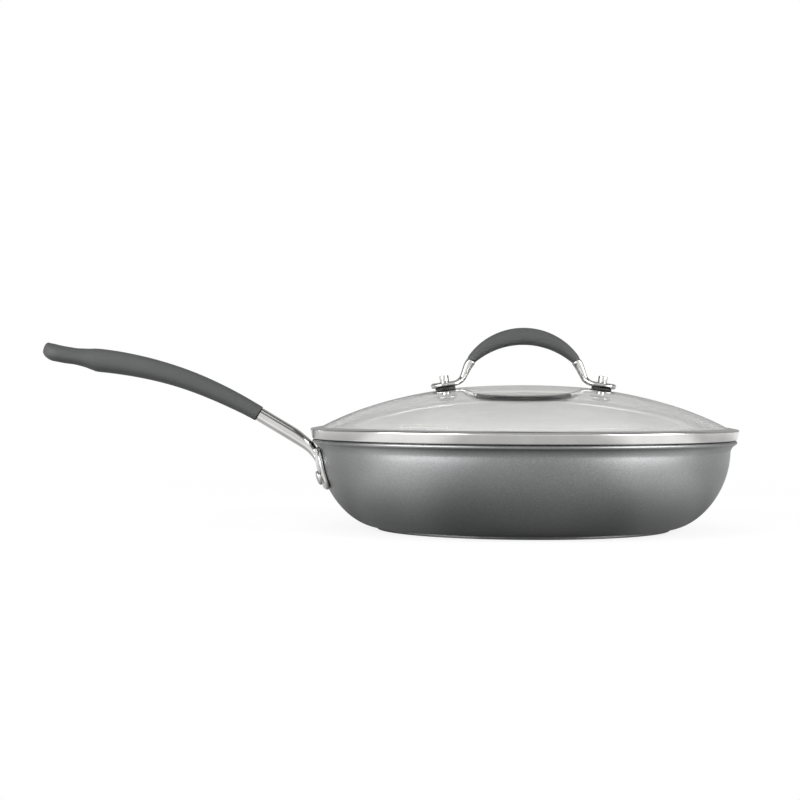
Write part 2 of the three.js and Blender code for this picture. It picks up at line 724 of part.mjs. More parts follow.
function lidRimSeal() {
  const edge = [
    glassUnderside(GLASS_RADIUS - SEAL_LAP),
    glassUnderside(BEVEL_RADIUS),
    point(GLASS_RADIUS, GLASS_FOOT + GLASS_BEVEL),
    point(GLASS_RADIUS, GLASS_TOP_EDGE - SEAL_DROP),
  ];
  return node("lid_rim_seal", turnedRing(stripOutline(edge, -FIT_GAP, -FIT_GAP - SEAL)), "seal");
}

// Arch of the lid handle in the XZ plane: from the left foot's tip over the crest to the right foot's tip

const FOOT_MIDDLE = UPPER_GASKET_HEIGHT + 2 * FIT_GAP + FOOT_THICKNESS / 2;

function archCourse() {
  const seat = footFrame(FOOT_SIDES.left).localToWorld(new THREE.Vector3(0, 0, FOOT_MIDDLE));
  const legTurn = LEG_SLOPE - FOOT_TILT;
  const bendRun = FOOT_BEND * (Math.sin(LEG_SLOPE) - Math.sin(FOOT_TILT));
  const straightRun = FOOT_FLAT * Math.cos(FOOT_TILT) + LEG_LENGTH * Math.cos(LEG_SLOPE);
  const shoulderRun = LEG_BEND * (Math.sin(LEG_SLOPE) - Math.sin(CREST_SPREAD));
  const crest = (-seat.x - bendRun - straightRun - shoulderRun) / Math.sin(CREST_SPREAD);
  const foot = { length: FOOT_RADIUS + FOOT_FLAT };
  const start = point(seat.x - FOOT_RADIUS * Math.cos(FOOT_TILT), seat.z - FOOT_RADIUS * Math.sin(FOOT_TILT));
  const course = makeCourse(start, FOOT_TILT, [
    foot,
    arcRun(FOOT_BEND, legTurn),
    { length: LEG_LENGTH },
    arcRun(LEG_BEND, CREST_SPREAD - LEG_SLOPE),
    arcRun(crest, -2 * CREST_SPREAD),
    arcRun(LEG_BEND, CREST_SPREAD - LEG_SLOPE),
    { length: LEG_LENGTH },
    arcRun(FOOT_BEND, legTurn),
    foot,
  ]);
  return { ...course, middle: course.length / 2, gripReach: crest * LID_GRIP_SPREAD };
}

const ARCH = archCourse();

// The same sections on both sides of the crest
function mirrored(distances) {
  return inOrder([...distances.map((distance) => -distance), ...distances].map((side) => ARCH.middle + side));
}

function barSection(distance) {
  const reach = Math.abs(distance - ARCH.middle);
  const grip = ARCH.gripReach + FIT_GAP;
  const screw = ARCH.middle - FOOT_RADIUS;
  const keys = [
    { at: grip, width: CREST_WIDTH, thickness: CREST_THICKNESS },
    { at: grip + SHOULDER, width: LEG_WIDTH, thickness: LEG_THICKNESS },
    { at: screw - FOOT_FLAT - FOOT_BEND, width: LEG_WIDTH, thickness: ANKLE_THICKNESS },
    { at: screw - FOOT_FLAT, width: 2 * FOOT_RADIUS, thickness: FOOT_THICKNESS },
  ];
  return eyeEnd(sectionAt(keys, reach), reach, ARCH.middle);
}

function lidHandleBar() {
  const grip = ARCH.gripReach + FIT_GAP;
  const screw = ARCH.middle - FOOT_RADIUS;
  const distances = mirrored([
    ...spread(0, grip, END_STEPS),
    ...spread(grip + SHOULDER, screw - FOOT_FLAT, END_STEPS),
    ...endDistances(ARCH.middle, FOOT_RADIUS),
  ]);
  const bar = solid(sweep(ARCH, distances, barSection));
  return node("lid_handle_bar", geometryOf(withFootHoles(bar, SCREW + 2 * FIT_GAP)), "steel");
}

function lidGripSection(distance) {
  const share = (distance - ARCH.middle) / ARCH.gripReach;
  return {
    width: THREE.MathUtils.lerp(LID_GRIP_WIDTH, LID_GRIP_END_WIDTH, share ** 2),
    thickness: THREE.MathUtils.lerp(LID_GRIP_THICKNESS, LID_GRIP_END_THICKNESS, share ** 2),
  };
}

function lidHandleGrip() {
  const room = { width: CREST_WIDTH + 2 * FIT_GAP, thickness: CREST_THICKNESS + 2 * FIT_GAP };
  const outside = mirrored(spread(0, ARCH.gripReach, GRIP_STEPS / 2));
  const inside = mirrored(spread(0, ARCH.gripReach + CUT_MARGIN, GRIP_STEPS / 2));
  const sleeve = solid(sweep(ARCH, outside, lidGripSection)).subtract(solid(sweep(ARCH, inside, () => room)));
  return node("lid_handle_grip", geometryOf(sleeve), "silicone");
}

// Fastenings of one foot, from the nut down to the screw, heights along the screw from the top of the glass

function barrelNut(low) {
  const bore = SCREW / 2 + FIT_GAP;
  const top = low + NUT_HEIGHT;
  const outline = [
    point(bore, low),
    point(NUT / 2, low),
    point(NUT / 2, top - NUT_EDGE),
    point(NUT / 2 - NUT_EDGE, top),
    point(0, top),
    point(0, top - NUT_CROWN),
    point(bore, top - NUT_CROWN),
    point(bore, low),
  ];
  return turned(outline, SMALL_FACETS);
}

function screw(seat, tip) {
  const dome = spread(0, Math.PI / 2, BEND_STEPS).map((angle) => {
    return point(SCREW_HEAD / 2 * Math.sin(angle), seat - SCREW_HEAD_HEIGHT * Math.cos(angle));
  });
  const shank = [point(SCREW / 2, seat), point(SCREW / 2, tip), point(0, tip)];
  return turned([point(0, seat - SCREW_HEAD_HEIGHT), ...dome.slice(1), ...shank], SMALL_FACETS);
}

function footFastenings(name, side) {
  const frame = footFrame(side);
  const hole = SCREW + 2 * FIT_GAP;
  const gasketLow = FIT_GAP;
  const footTop = FOOT_MIDDLE + FOOT_THICKNESS / 2;
  const nutLow = footTop + FIT_GAP;
  const lowerTop = -GLASS - FIT_GAP;
  const washerTop = lowerTop - LOWER_GASKET_HEIGHT - FIT_GAP;
  const screwSeat = washerTop - WASHER_HEIGHT - FIT_GAP;
  const screwTip = nutLow + NUT_HEIGHT - NUT_CROWN - FIT_GAP;
  const upperGasket = collar(UPPER_GASKET, hole, gasketLow, gasketLow + UPPER_GASKET_HEIGHT);
  const lowerGasket = collar(LOWER_GASKET, hole, lowerTop - LOWER_GASKET_HEIGHT, lowerTop);
  const washer = collar(WASHER, hole, washerTop - WASHER_HEIGHT, washerTop);
  frame.add(
    node(`${name}_barrel_nut`, barrelNut(nutLow), "steel"),
    node(`${name}_upper_gasket`, upperGasket, "seal"),
    node(`${name}_lower_gasket`, lowerGasket, "seal"),
    node(`${name}_washer`, washer, "steel"),
    node(`${name}_screw`, screw(screwSeat, screwTip), "steel"),
  );
  return frame;
}

function makePan() {
  const pan = new THREE.Group();
  pan.add(panBody(), panHandleCore(), panHandleGrip());
  Object.entries(RIVET_SIDES).forEach(([name, side]) => pan.add(rivet(name, side)));
  return pan;
}

function makeLid() {
  const lid = new THREE.Group();
  lid.position.z = PAN_HEIGHT + FIT_GAP;
  lid.add(lidGlass(), lidRimBand(), lidRimSeal(), lidHandleBar(), lidHandleGrip());
  Object.entries(FOOT_SIDES).forEach(([name, side]) => lid.add(footFastenings(name, side)));
  return lid;
}

const skillet = new THREE.Group();
skillet.add(makePan(), makeLid());

export default skillet;
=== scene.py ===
"""Covered skillet: dark spun pan with a long riveted handle, and a domed glass lid that lifts off.

Sizes are in millimetres and angles in degrees until a mesh is made. +Z is up, the long handle points to -X.
"""

import math

import bmesh
import bpy
import numpy as np
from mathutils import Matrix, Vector


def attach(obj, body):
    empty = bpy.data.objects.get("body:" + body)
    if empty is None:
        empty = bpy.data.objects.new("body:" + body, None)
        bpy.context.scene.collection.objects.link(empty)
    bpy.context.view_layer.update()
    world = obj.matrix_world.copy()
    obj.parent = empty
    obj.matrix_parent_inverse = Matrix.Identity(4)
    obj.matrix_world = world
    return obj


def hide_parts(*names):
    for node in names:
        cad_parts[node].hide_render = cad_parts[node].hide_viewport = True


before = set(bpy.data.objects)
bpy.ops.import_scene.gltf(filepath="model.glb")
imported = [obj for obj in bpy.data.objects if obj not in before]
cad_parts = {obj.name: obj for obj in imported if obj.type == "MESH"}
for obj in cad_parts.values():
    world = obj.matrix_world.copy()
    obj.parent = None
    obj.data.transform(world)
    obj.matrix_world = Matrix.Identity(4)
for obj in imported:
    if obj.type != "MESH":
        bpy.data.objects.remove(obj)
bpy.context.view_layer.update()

MM = 0.001
GAP = 0.3
TOUCH = 0.02
ROUND_STEPS = 256
SMALL_STEPS = 48

# Pan body
LIP_RADIUS = 152.5
LIP_OVERHANG = 4.7
LIP_FLARE = math.radians(65)
PAN_HEIGHT = 64.5
PAN_WALL = 2.8
BASE_RADIUS = 105.5
BASE_STEP = 1.8
BASE_EDGE = 0.6
WALL_LEAN = math.radians(2)
FLOOR_FULLNESS = 0.43
WALL_FULLNESS = 0.56

# Pan handle
FLANGE_SHEET = 2.8
FLANGE_WIDTH = 70.0
FLANGE_HEIGHT = 29.0
FLANGE_DROP = 5.5
FLANGE_CORNER = 7.0
FLANGE_SHOULDER = 13.0
FLANGE_EDGE = 1.1
FLANGE_CORNER_POINTS = 9
RIVET_INSET = 11.0
RIVET_RISE = 8.5
RIVET_HEAD = 10.4
RIVET_HEAD_HEIGHT = 2.6
RIVET_RIM = 0.9
RIVET_INNER_HEAD = 11.6
RIVET_INNER_HEIGHT = 1.8
RIVET_SHANK = 5.2
TOE_RISE = 4.0
TOE_SINK = 2.4
TOE_SLOPE = math.radians(76)
TOE_LENGTH = 13.4
NECK_BEND = 20.6
NECK_SLOPE = math.radians(30.7)
NECK_LENGTH = 45.1
GRIP_BEND = 285.0
GRIP_SLOPE = math.radians(6.3)
TIP_BEND = 345.0
TIP_SLOPE = math.radians(13.2)
NECK_WIDTH = 18.0
NECK_THICKNESS = 10.0
TANG_WIDTH = 14.0
TANG_THICKNESS = 7.0
EYE_WIDTH = 21.0
EYE_THICKNESS = 5.0
GRIP_FRONT = 73.8
GRIP_EDGE = 0.7
GRIP_MOUTH = 1.5
NECK_STEP = 0.8
SLEEVE_END = 2.4
LOOP_LENGTH = 29.0
LOOP_WIDTH = 27.0
LOOP_THICKNESS = 12.6
GRIP_SWELL_FROM_TIP = 41.0
TIP_ROUND_ABOVE = 2.6
TIP_ROUND_BELOW = 11.0
SLOT_LENGTH = 20.0
SLOT_WIDTH = 10.0
SLOT_FROM_TIP = 18.0
SLOT_LINING = 1.6
SLOT_EDGE = 1.6

# Lid
LID_BASE = PAN_HEIGHT + GAP
SHEET = 0.6
SEAL = 0.5
SKIRT_PLAY = 1.2
SKIRT_DEPTH = 4.5
BAND_FLARE = 0.7
BAND_RAISE = 1.6
BAND_LAP = 4.1
BAND_ROUNDING = 1.0
SEAL_LAP = 2.4
SEAL_DROP = 0.5
SEAL_ROUNDING = 0.3
GLASS = 3.6
GLASS_INSET = 0.9
GLASS_RADIUS = LIP_RADIUS - GLASS_INSET
GLASS_BEVEL = 1.0
DOME_RISE = 34.3
DOME_ROUNDNESS = 0.79
CROWN_RADIUS = 60.0
RECESS_HALF_LENGTH = 47.0
RECESS_HALF_WIDTH = 27.0
RECESS_WALL = 16.0
RECESS_DEPTH = 8.3
FOOT_RADIAL = 56.3
FOOT_RADIUS = 10.3
FOOT_THICKNESS = 3.9
FOOT_EDGE = 2.0
FOOT_FLAT = 6.0
FOOT_BEND = 9.0
LEG_SLOPE = math.radians(68)
LEG_LENGTH = 7.0
LEG_BEND = 16.0
LEG_WIDTH = 12.0
LEG_THICKNESS = 7.0
ANKLE_THICKNESS = 5.0
CREST_SPREAD = math.radians(50)
CREST_WIDTH = 8.0
CREST_THICKNESS = 3.2
CREST_STEP = 3.0
LID_GRIP_SPREAD = math.radians(49.5)
LID_GRIP_WIDTH = 17.0
LID_GRIP_THICKNESS = 12.4
LID_GRIP_END_WIDTH = 12.8
LID_GRIP_END_THICKNESS = 6.4
LID_GRIP_EDGE = 1.0
LID_GRIP_MOUTH = 2.0
UPPER_GASKET = 14.6
UPPER_GASKET_HEIGHT = 0.8
UPPER_GASKET_EDGE = 0.3
LOWER_GASKET = 15.0
LOWER_GASKET_HEIGHT = 1.0
LOWER_GASKET_EDGE = 0.5
WASHER = 14.4
WASHER_HEIGHT = 0.8
WASHER_EDGE = 0.4
SCREW = 4.0
SCREW_HEAD = 12.0
SCREW_HEAD_HEIGHT = 1.6
NUT = 6.7
NUT_HEIGHT = 4.2
NUT_EDGE = 0.5

# Stage, with distances on the floor and the camera's place in metres
FLOOR_RADIUS = 3000.0
FLOOR_DROP = 0.2
FLOOR_TONE = 0.2
FLOOR_LIFT = 0.84
# Painted shadow round the pan that the floor shows in reflections only, fading out between these distances
FLOOR_PAINTED_SHADE = (0.1, 0.24)
FLOOR_FADE = (0.3, 0.9)
# Painted pools of light that the floor shows in reflections only, rising over the first angles from the
# camera's line and falling over the second
PAINTED_LIGHT_FROM = (math.radians(26), math.radians(44))
PAINTED_LIGHT_UNTIL = (math.radians(70), math.radians(86))
ROOM_LIGHT = 0.35
SENSOR_WIDTH = 36.0
LENS = 84.9
CAMERA_PLACE = (-0.0893, -1.365, 0.101)
CAMERA_TILT = math.radians(90 - 0.353)
CAMERA_ROLL = math.radians(-0.2)


# Node trees

def new_tree(name, inputs):
    """Geometry tree with one geometry in, one out, and named inputs of the kinds given."""
    tree = bpy.data.node_groups.new(name, "GeometryNodeTree")
    tree.interface.new_socket("Geometry", in_out="OUTPUT", socket_type="NodeSocketGeometry")
    tree.interface.new_socket("Geometry", in_out="INPUT", socket_type="NodeSocketGeometry")
    for label, kind in inputs:
        tree.interface.new_socket(label, in_out="INPUT", socket_type="NodeSocket" + kind)
    return tree, tree.nodes.new("NodeGroupInput").outputs, tree.nodes.new("NodeGroupOutput").inputs[0]


def add(tree, kind, inputs, **settings):
    """Node of a kind with its settings, and its inputs linked to sockets or set to values."""
    node = tree.nodes.new(kind)
    for name, value in settings.items():
        setattr(node, name, value)
    for key, value in inputs.items():
        if isinstance(value, bpy.types.NodeSocket):
            tree.links.new(value, node.inputs[key])
        else:
            node.inputs[key].default_value = value
    return node


def calc(tree, operation, *values):
    return add(tree, "ShaderNodeMath", dict(enumerate(values)), operation=operation).outputs[0]


def soft_step(tree, value, low, high):
    """0 up to the low value, 1 from the high one on, and a soft rise between them."""
    return add(
        tree, "ShaderNodeMapRange", {"Value": value, "From Min": low, "From Max": high},
        interpolation_type="SMOOTHSTEP",
    ).outputs[0]


def length_of(tree, first, second):
    squares = [calc(tree, "POWER", side, 2.0) for side in (first, second)]
    return calc(tree, "SQRT", calc(tree, "ADD", *squares))


def spun_part(tree, given, spun):
    """The spun tree as one node, fed with the chain and its steps."""
    inputs = {"Geometry": given["Geometry"], "Steps": given["Steps"]}
    return add(tree, "GeometryNodeGroup", inputs, node_tree=spun).outputs[0]


def end_tree(tree, geometry, material, out):
    """Ends a tree with real geometry that carries its material."""
    made = add(tree, "GeometryNodeRealizeInstances", {"Geometry": geometry}).outputs[0]
    painted = add(tree, "GeometryNodeSetMaterial", {"Geometry": made, "Material": material}).outputs[0]
    tree.links.new(painted, out)


def spun_tree():
    """Turns a chain of points in the XZ plane round the Z axis."""
    tree, given, out = new_tree("spun_profile", [("Steps", "Int")])
    chain = given["Geometry"]
    columns = calc(tree, "ADD", given["Steps"], 1.0)
    size = add(tree, "GeometryNodeAttributeDomainSize", {"Geometry": chain})
    rows = size.outputs["Point Count"]
    grid = add(tree, "GeometryNodeMeshGrid", {"Vertices X": rows, "Vertices Y": columns}).outputs["Mesh"]
    index = add(tree, "GeometryNodeInputIndex", {}).outputs[0]
    row = calc(tree, "FLOOR", calc(tree, "DIVIDE", index, columns))
    column = calc(tree, "SUBTRACT", index, calc(tree, "MULTIPLY", row, columns))
    turn = calc(tree, "MULTIPLY", calc(tree, "DIVIDE", column, given["Steps"]), 2 * math.pi)
    place = add(tree, "GeometryNodeInputPosition", {}).outputs[0]
    spot = add(
        tree, "GeometryNodeSampleIndex", {"Geometry": chain, "Value": place, "Index": row},
        data_type="FLOAT_VECTOR", domain="POINT",
    ).outputs[0]
    turned = add(
        tree, "ShaderNodeVectorRotate", {"Vector": spot, "Angle": turn}, rotation_type="Z_AXIS"
    ).outputs[0]
    wall = add(tree, "GeometryNodeSetPosition", {"Geometry": grid, "Position": turned}).outputs[0]
    closed = add(tree, "GeometryNodeMergeByDistance", {"Geometry": wall, "Distance": MM * MM}).outputs[0]
    tree.links.new(closed, out)
    return tree


def spun_piece_tree(spun):
    """One spun piece with its material."""
    tree, given, out = new_tree("spun_piece", [("Steps", "Int"), ("Material", "Material")])
    end_tree(tree, spun_part(tree, given, spun), given["Material"], out)
    return tree


def ring_tree(spun):
    """Copies of a spun piece stood round the Z axis, each leaning outwards by the same angle."""
    inputs = [
        ("Steps", "Int"), ("Material", "Material"), ("Count", "Int"), ("Radius", "Float"),
        ("Height", "Float"), ("Lean", "Float"), ("First Angle", "Float"), ("Angle Between", "Float"),
    ]
    tree, given, out = new_tree("ring_of_pieces", inputs)
    index = add(tree, "GeometryNodeInputIndex", {}).outputs[0]
    angle = calc(tree, "MULTIPLY_ADD", index, given["Angle Between"], given["First Angle"])
    across = calc(tree, "MULTIPLY", given["Radius"], calc(tree, "COSINE", angle))
    along = calc(tree, "MULTIPLY", given["Radius"], calc(tree, "SINE", angle))
    place = add(tree, "ShaderNodeCombineXYZ", {0: across, 1: along, 2: given["Height"]}).outputs[0]
    points = add(tree, "GeometryNodePoints", {"Count": given["Count"], "Position": place}).outputs[0]
    turn = add(tree, "ShaderNodeCombineXYZ", {1: given["Lean"], 2: angle}).outputs[0]
    facing = add(tree, "FunctionNodeEulerToRotation", {0: turn}).outputs[0]
    copies = add(
        tree, "GeometryNodeInstanceOnPoints",
        {"Points": points, "Instance": spun_part(tree, given, spun), "Rotation": facing},
    ).outputs[0]
    end_tree(tree, copies, given["Material"], out)
    return tree


def pressed_tree(spun):
    """A spun dome with an oval recess pressed into its crown down to a flat floor."""
    inputs = [
        ("Steps", "Int"), ("Material", "Material"), ("Half Length", "Float"), ("Half Width", "Float"),
        ("Wall", "Float"), ("Floor", "Float"), ("Edge Height", "Float"), ("Edge Radius", "Float"),
        ("Rise", "Float"), ("Roundness", "Float"),
    ]
    tree, given, out = new_tree("pressed_dome", inputs)
    place = add(tree, "GeometryNodeInputPosition", {}).outputs[0]
    spot = add(tree, "ShaderNodeSeparateXYZ", {0: place}).outputs
    radius = length_of(tree, spot[0], spot[1])
    along = calc(tree, "DIVIDE", spot[0], given["Half Length"])
    across = calc(tree, "DIVIDE", spot[1], given["Half Width"])
    oval = length_of(tree, along, across)
    inwards = calc(tree, "MULTIPLY", calc(tree, "SUBTRACT", 1.0, oval), given["Half Length"])
    depth = soft_step(tree, inwards, 0.0, given["Wall"])
    share = calc(tree, "MULTIPLY", given["Roundness"], calc(tree, "DIVIDE", radius, given["Edge Radius"]))
    flat = calc(tree, "SQRT", calc(tree, "SUBTRACT", 1.0, calc(tree, "POWER", given["Roundness"], 2.0)))
    curve = calc(tree, "SQRT", calc(tree, "SUBTRACT", 1.0, calc(tree, "POWER", share, 2.0)))
    part = calc(tree, "DIVIDE", calc(tree, "SUBTRACT", curve, flat), calc(tree, "SUBTRACT", 1.0, flat))
    crown = calc(tree, "MULTIPLY_ADD", part, given["Rise"], given["Edge Height"])
    drop = calc(tree, "MULTIPLY", calc(tree, "SUBTRACT", given["Floor"], crown), depth)
    move = add(tree, "ShaderNodeCombineXYZ", {2: drop}).outputs[0]
    dome = spun_part(tree, given, spun)
    pressed = add(tree, "GeometryNodeSetPosition", {"Geometry": dome, "Offset": move}).outputs[0]
    end_tree(tree, pressed, given["Material"], out)
    return tree


def grow(obj, tree, values):
    """Replaces obj's mesh by what the tree makes of it."""
    modifier = obj.modifiers.new(tree.name, "NODES")
    modifier.node_group = tree
    for item in tree.interface.items_tree:
        if item.in_out == "INPUT" and item.name in values:
            modifier[item.identifier] = values[item.name]
    depsgraph = bpy.context.evaluated_depsgraph_get()
    mesh = bpy.data.meshes.new_from_object(obj.evaluated_get(depsgraph))
    obj.modifiers.remove(modifier)
    obj.data = mesh


# Meshes

def mesh_object(name, points, faces):
    mesh = bpy.data.meshes.new(name)
    mesh.from_pydata((np.asarray(points, float) * MM).tolist(), [], faces)
    obj = bpy.data.objects.new(name, mesh)
    bpy.context.scene.collection.objects.link(obj)
    return obj


def chain_object(name, outline, base=0.0):
    """Chain of (radius, height) points in the XZ plane, to be spun."""
    return mesh_object(name, [(max(radius, 0.0), 0.0, base + height) for radius, height in outline], [])


def loft(rings):
    """Points and faces of a closed skin through rings of equal count."""
    rings = [np.asarray(ring, float) for ring in rings]
    count = len(rings[0])
    points = np.vstack(rings + [rings[0].mean(0)[None], rings[-1].mean(0)[None]])
    faces = []
    for row in range(len(rings) - 1):
        for step in range(count):
            after = (step + 1) % count
            low, high = row * count, (row + 1) * count
            faces.append((low + step, low + after, high + after, high + step))
    last = (len(rings) - 1) * count
    for step in range(count):
        after = (step + 1) % count
        faces.append((len(points) - 2, after, step))
        faces.append((len(points) - 1, last + step, last + after))
    return points, faces


def face_out(obj, joined=False):
    """Turns every face outwards, with doubled points joined first if asked."""
    shape = bmesh.new()
    shape.from_mesh(obj.data)
    if joined:
        bmesh.ops.remove_doubles(shape, verts=shape.verts, dist=MM * MM)
    bmesh.ops.recalc_face_normals(shape, faces=shape.faces)
    shape.to_mesh(obj.data)
    shape.free()


def tidy(obj, sharp):
    """Outward normals and smooth faces, with an edge kept where faces meet at more than an angle."""
    face_out(obj, joined=True)
    obj.data.shade_smooth()
    obj.data.set_sharp_from_angle(angle=math.radians(sharp))


def seat(obj, body, slot, material, nodes, sharp=40):
    """Finishes a piece and puts it on its body in place of the nodes it stands for."""
    tidy(obj, sharp)
    obj.data.materials.clear()
    obj.data.materials.append(material)
    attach(obj, body)
    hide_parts(*nodes)


def cut(obj, tool, operation="DIFFERENCE"):
    """Joins a tool to obj or takes it away, and removes the tool."""
    face_out(obj)
    face_out(tool)
    modifier = obj.modifiers.new(operation, "BOOLEAN")
    modifier.operation = operation
    modifier.solver = "MANIFOLD"
    modifier.object = tool
    depsgraph = bpy.context.evaluated_depsgraph_get()
    mesh = bpy.data.meshes.new_from_object(obj.evaluated_get(depsgraph))
    obj.modifiers.remove(modifier)
    obj.data = mesh
    bpy.data.objects.remove(tool)


# Curves

def beside(place, heading, distance):
    return np.array([place[0] - math.sin(heading) * distance, place[1] + math.cos(heading) * distance])


def course(start, heading, runs):
    """Straight runs and arcs in a plane, as (length, turn) pairs, and their length in all.

    The function it gives tells the place and heading at a distance along them.
    """
    total = sum(length for length, _ in runs)

    def at(distance):
        place, facing, left = np.array(start, float), heading, distance
        for index, (length, turn) in enumerate(runs):
            step = left if index == len(runs) - 1 else min(left, length)
            bend = turn * step / length
            chord = step if bend == 0 else step * math.sin(bend / 2) / (bend / 2)
            place = place + chord * np.array([math.cos(facing + bend / 2), math.sin(facing + bend / 2)])
            facing += bend
            left -= step
        return place, facing

    return at, total


def arc(radius, turn):
    return radius * abs(turn), turn


def smooth_keys(keys, distance):
    """Value between (distance, value) keys, without overshoot."""
    places, values = np.array(keys, float).T
    steps = np.diff(places)
    slopes = np.diff(values) / steps
    tangents = np.zeros(len(values))
    for index in range(1, len(values) - 1):
        low, high = slopes[index - 1], slopes[index]
        if low * high > 0:
            tangents[index] = 2 * low * high / (low + high)
    index = int(np.clip(np.searchsorted(places, distance) - 1, 0, len(steps) - 1))
    share = float(np.clip((distance - places[index]) / steps[index], 0, 1))
    square, cube = share * share, share ** 3
    leaving, arriving = (cube - 2 * square + share) * tangents[index], (cube - square) * tangents[index + 1]
    return (
        (2 * cube - 3 * square + 1) * values[index] + (3 * square - 2 * cube) * values[index + 1]
        + steps[index] * (leaving + arriving)
    )


def round_end(distance, reach):
    """Share of the full size that is left at a distance from a round end."""
    return 1.0 if distance >= reach else math.sqrt(max(0.0, 1 - (1 - max(distance, 0.0) / reach) ** 2))


def quarter_turn(count):
    return np.linspace(0, math.pi / 2, count)


def section_ring(at, distance, width, above, below, lift=0.0, squareness=2.6, count=64):
    """Ring round a course in the XZ plane: its width along Y, and its heights above and below the course.

    The lift moves the whole ring off the course.
    """
    place, heading = at(distance)
    upward = math.copysign(1.0, math.cos(heading))
    ring = []
    for step in range(count):
        angle = 2 * math.pi * step / count
        across, up = math.cos(angle), math.sin(angle)
        across = math.copysign(abs(across) ** (2 / squareness), across) * width / 2
        up = math.copysign(abs(up) ** (2 / squareness), up)
        spot = beside(place, heading, upward * (lift + up * (above if up > 0 else below)))
        ring.append((spot[0], across, spot[1]))
    return ring


# Pan shell

WALL_RADIUS = LIP_RADIUS - LIP_OVERHANG
BEAD = PAN_WALL / 2
FLARE_BEND = (LIP_OVERHANG - BEAD * (1 - math.cos(LIP_FLARE))) / (math.cos(WALL_LEAN) - math.cos(LIP_FLARE))
FLARE_RISE = FLARE_BEND * (math.sin(LIP_FLARE) - math.sin(WALL_LEAN))
WALL_TOP = PAN_HEIGHT - BEAD * (1 + math.sin(LIP_FLARE)) - FLARE_RISE


def corner_at(share):
    """Place and heading on the rounded corner between the base and the wall."""
    start, end = np.array([BASE_RADIUS, BASE_STEP]), np.array([WALL_RADIUS, WALL_TOP])
    rise = WALL_FULLNESS * (end[1] - start[1])
    pulls = [
        start,
        start + [FLOOR_FULLNESS * (end[0] - start[0]), 0],
        end - [rise * math.tan(WALL_LEAN), rise],
        end,
    ]
    rest = 1 - share
    place = rest ** 3 * pulls[0] + 3 * rest ** 2 * share * pulls[1] + 3 * rest * share ** 2 * pulls[2]
    place = place + share ** 3 * pulls[3]
    way = rest ** 2 * (pulls[1] - pulls[0]) + 2 * rest * share * (pulls[2] - pulls[1])
    way = way + share ** 2 * (pulls[3] - pulls[2])
    return place, math.atan2(way[1], way[0])


def shell_places():
    places = [corner_at(share) for share in np.linspace(0, 1, 61)[:-1]]
    turn = LIP_FLARE - WALL_LEAN
    at, length = course((WALL_RADIUS, WALL_TOP), math.pi / 2 - WALL_LEAN, [arc(FLARE_BEND, -turn)])
    return places + [at(distance) for distance in np.linspace(0, length, 15)]


SHELL = shell_places()


def wall_at(height):
    """Place and heading of the outside of the wall at a height."""
    heights = [place[1] for place, _ in SHELL]
    radius = np.interp(height, heights, [place[0] for place, _ in SHELL])
    heading = np.interp(height, heights, [heading for _, heading in SHELL])
    return np.array([radius, height]), float(heading)


def pan_outline():
    edge = [
        (BASE_RADIUS - BASE_EDGE * (1 - math.sin(angle)), BASE_EDGE * (1 - math.cos(angle)))
        for angle in quarter_turn(5)
    ]
    outside = [place for place, _ in SHELL]
    lip, heading = SHELL[-1]
    centre = beside(lip, heading, BEAD)
    bead = [
        centre + BEAD * np.array([math.cos(angle), math.sin(angle)])
        for angle in np.linspace(heading - math.pi / 2, heading + math.pi / 2, 15)[1:-1]
    ]
    inside = [beside(place, heading, PAN_WALL) for place, heading in reversed(SHELL)]
    floor = [(radius, inside[-1][1]) for radius in np.linspace(BASE_RADIUS, 0, 24)[1:]]
    base = [(radius, 0.0) for radius in np.linspace(0, BASE_RADIUS - BASE_EDGE, 24)[:-1]]
    return base + edge + outside + bead + inside + floor


# Pan handle

FLANGE_TOP = PAN_HEIGHT - FLANGE_DROP
FLANGE_BOTTOM = FLANGE_TOP - FLANGE_HEIGHT
TOE_WALL, _ = wall_at(FLANGE_BOTTOM + TOE_RISE)
HANDLE, HANDLE_LENGTH = course(
    (-TOE_WALL[0] + TOE_SINK, TOE_WALL[1]),
    math.pi - TOE_SLOPE,
    [
        (TOE_LENGTH, 0.0),
        arc(NECK_BEND, TOE_SLOPE - NECK_SLOPE),
        (NECK_LENGTH, 0.0),
        arc(GRIP_BEND, NECK_SLOPE - GRIP_SLOPE),
        arc(TIP_BEND, GRIP_SLOPE - TIP_SLOPE),
    ],
)
NECK_END = GRIP_FRONT - NECK_STEP
LOOP_START = HANDLE_LENGTH - LOOP_LENGTH
TANG_END = HANDLE_LENGTH - SLEEVE_END - GAP


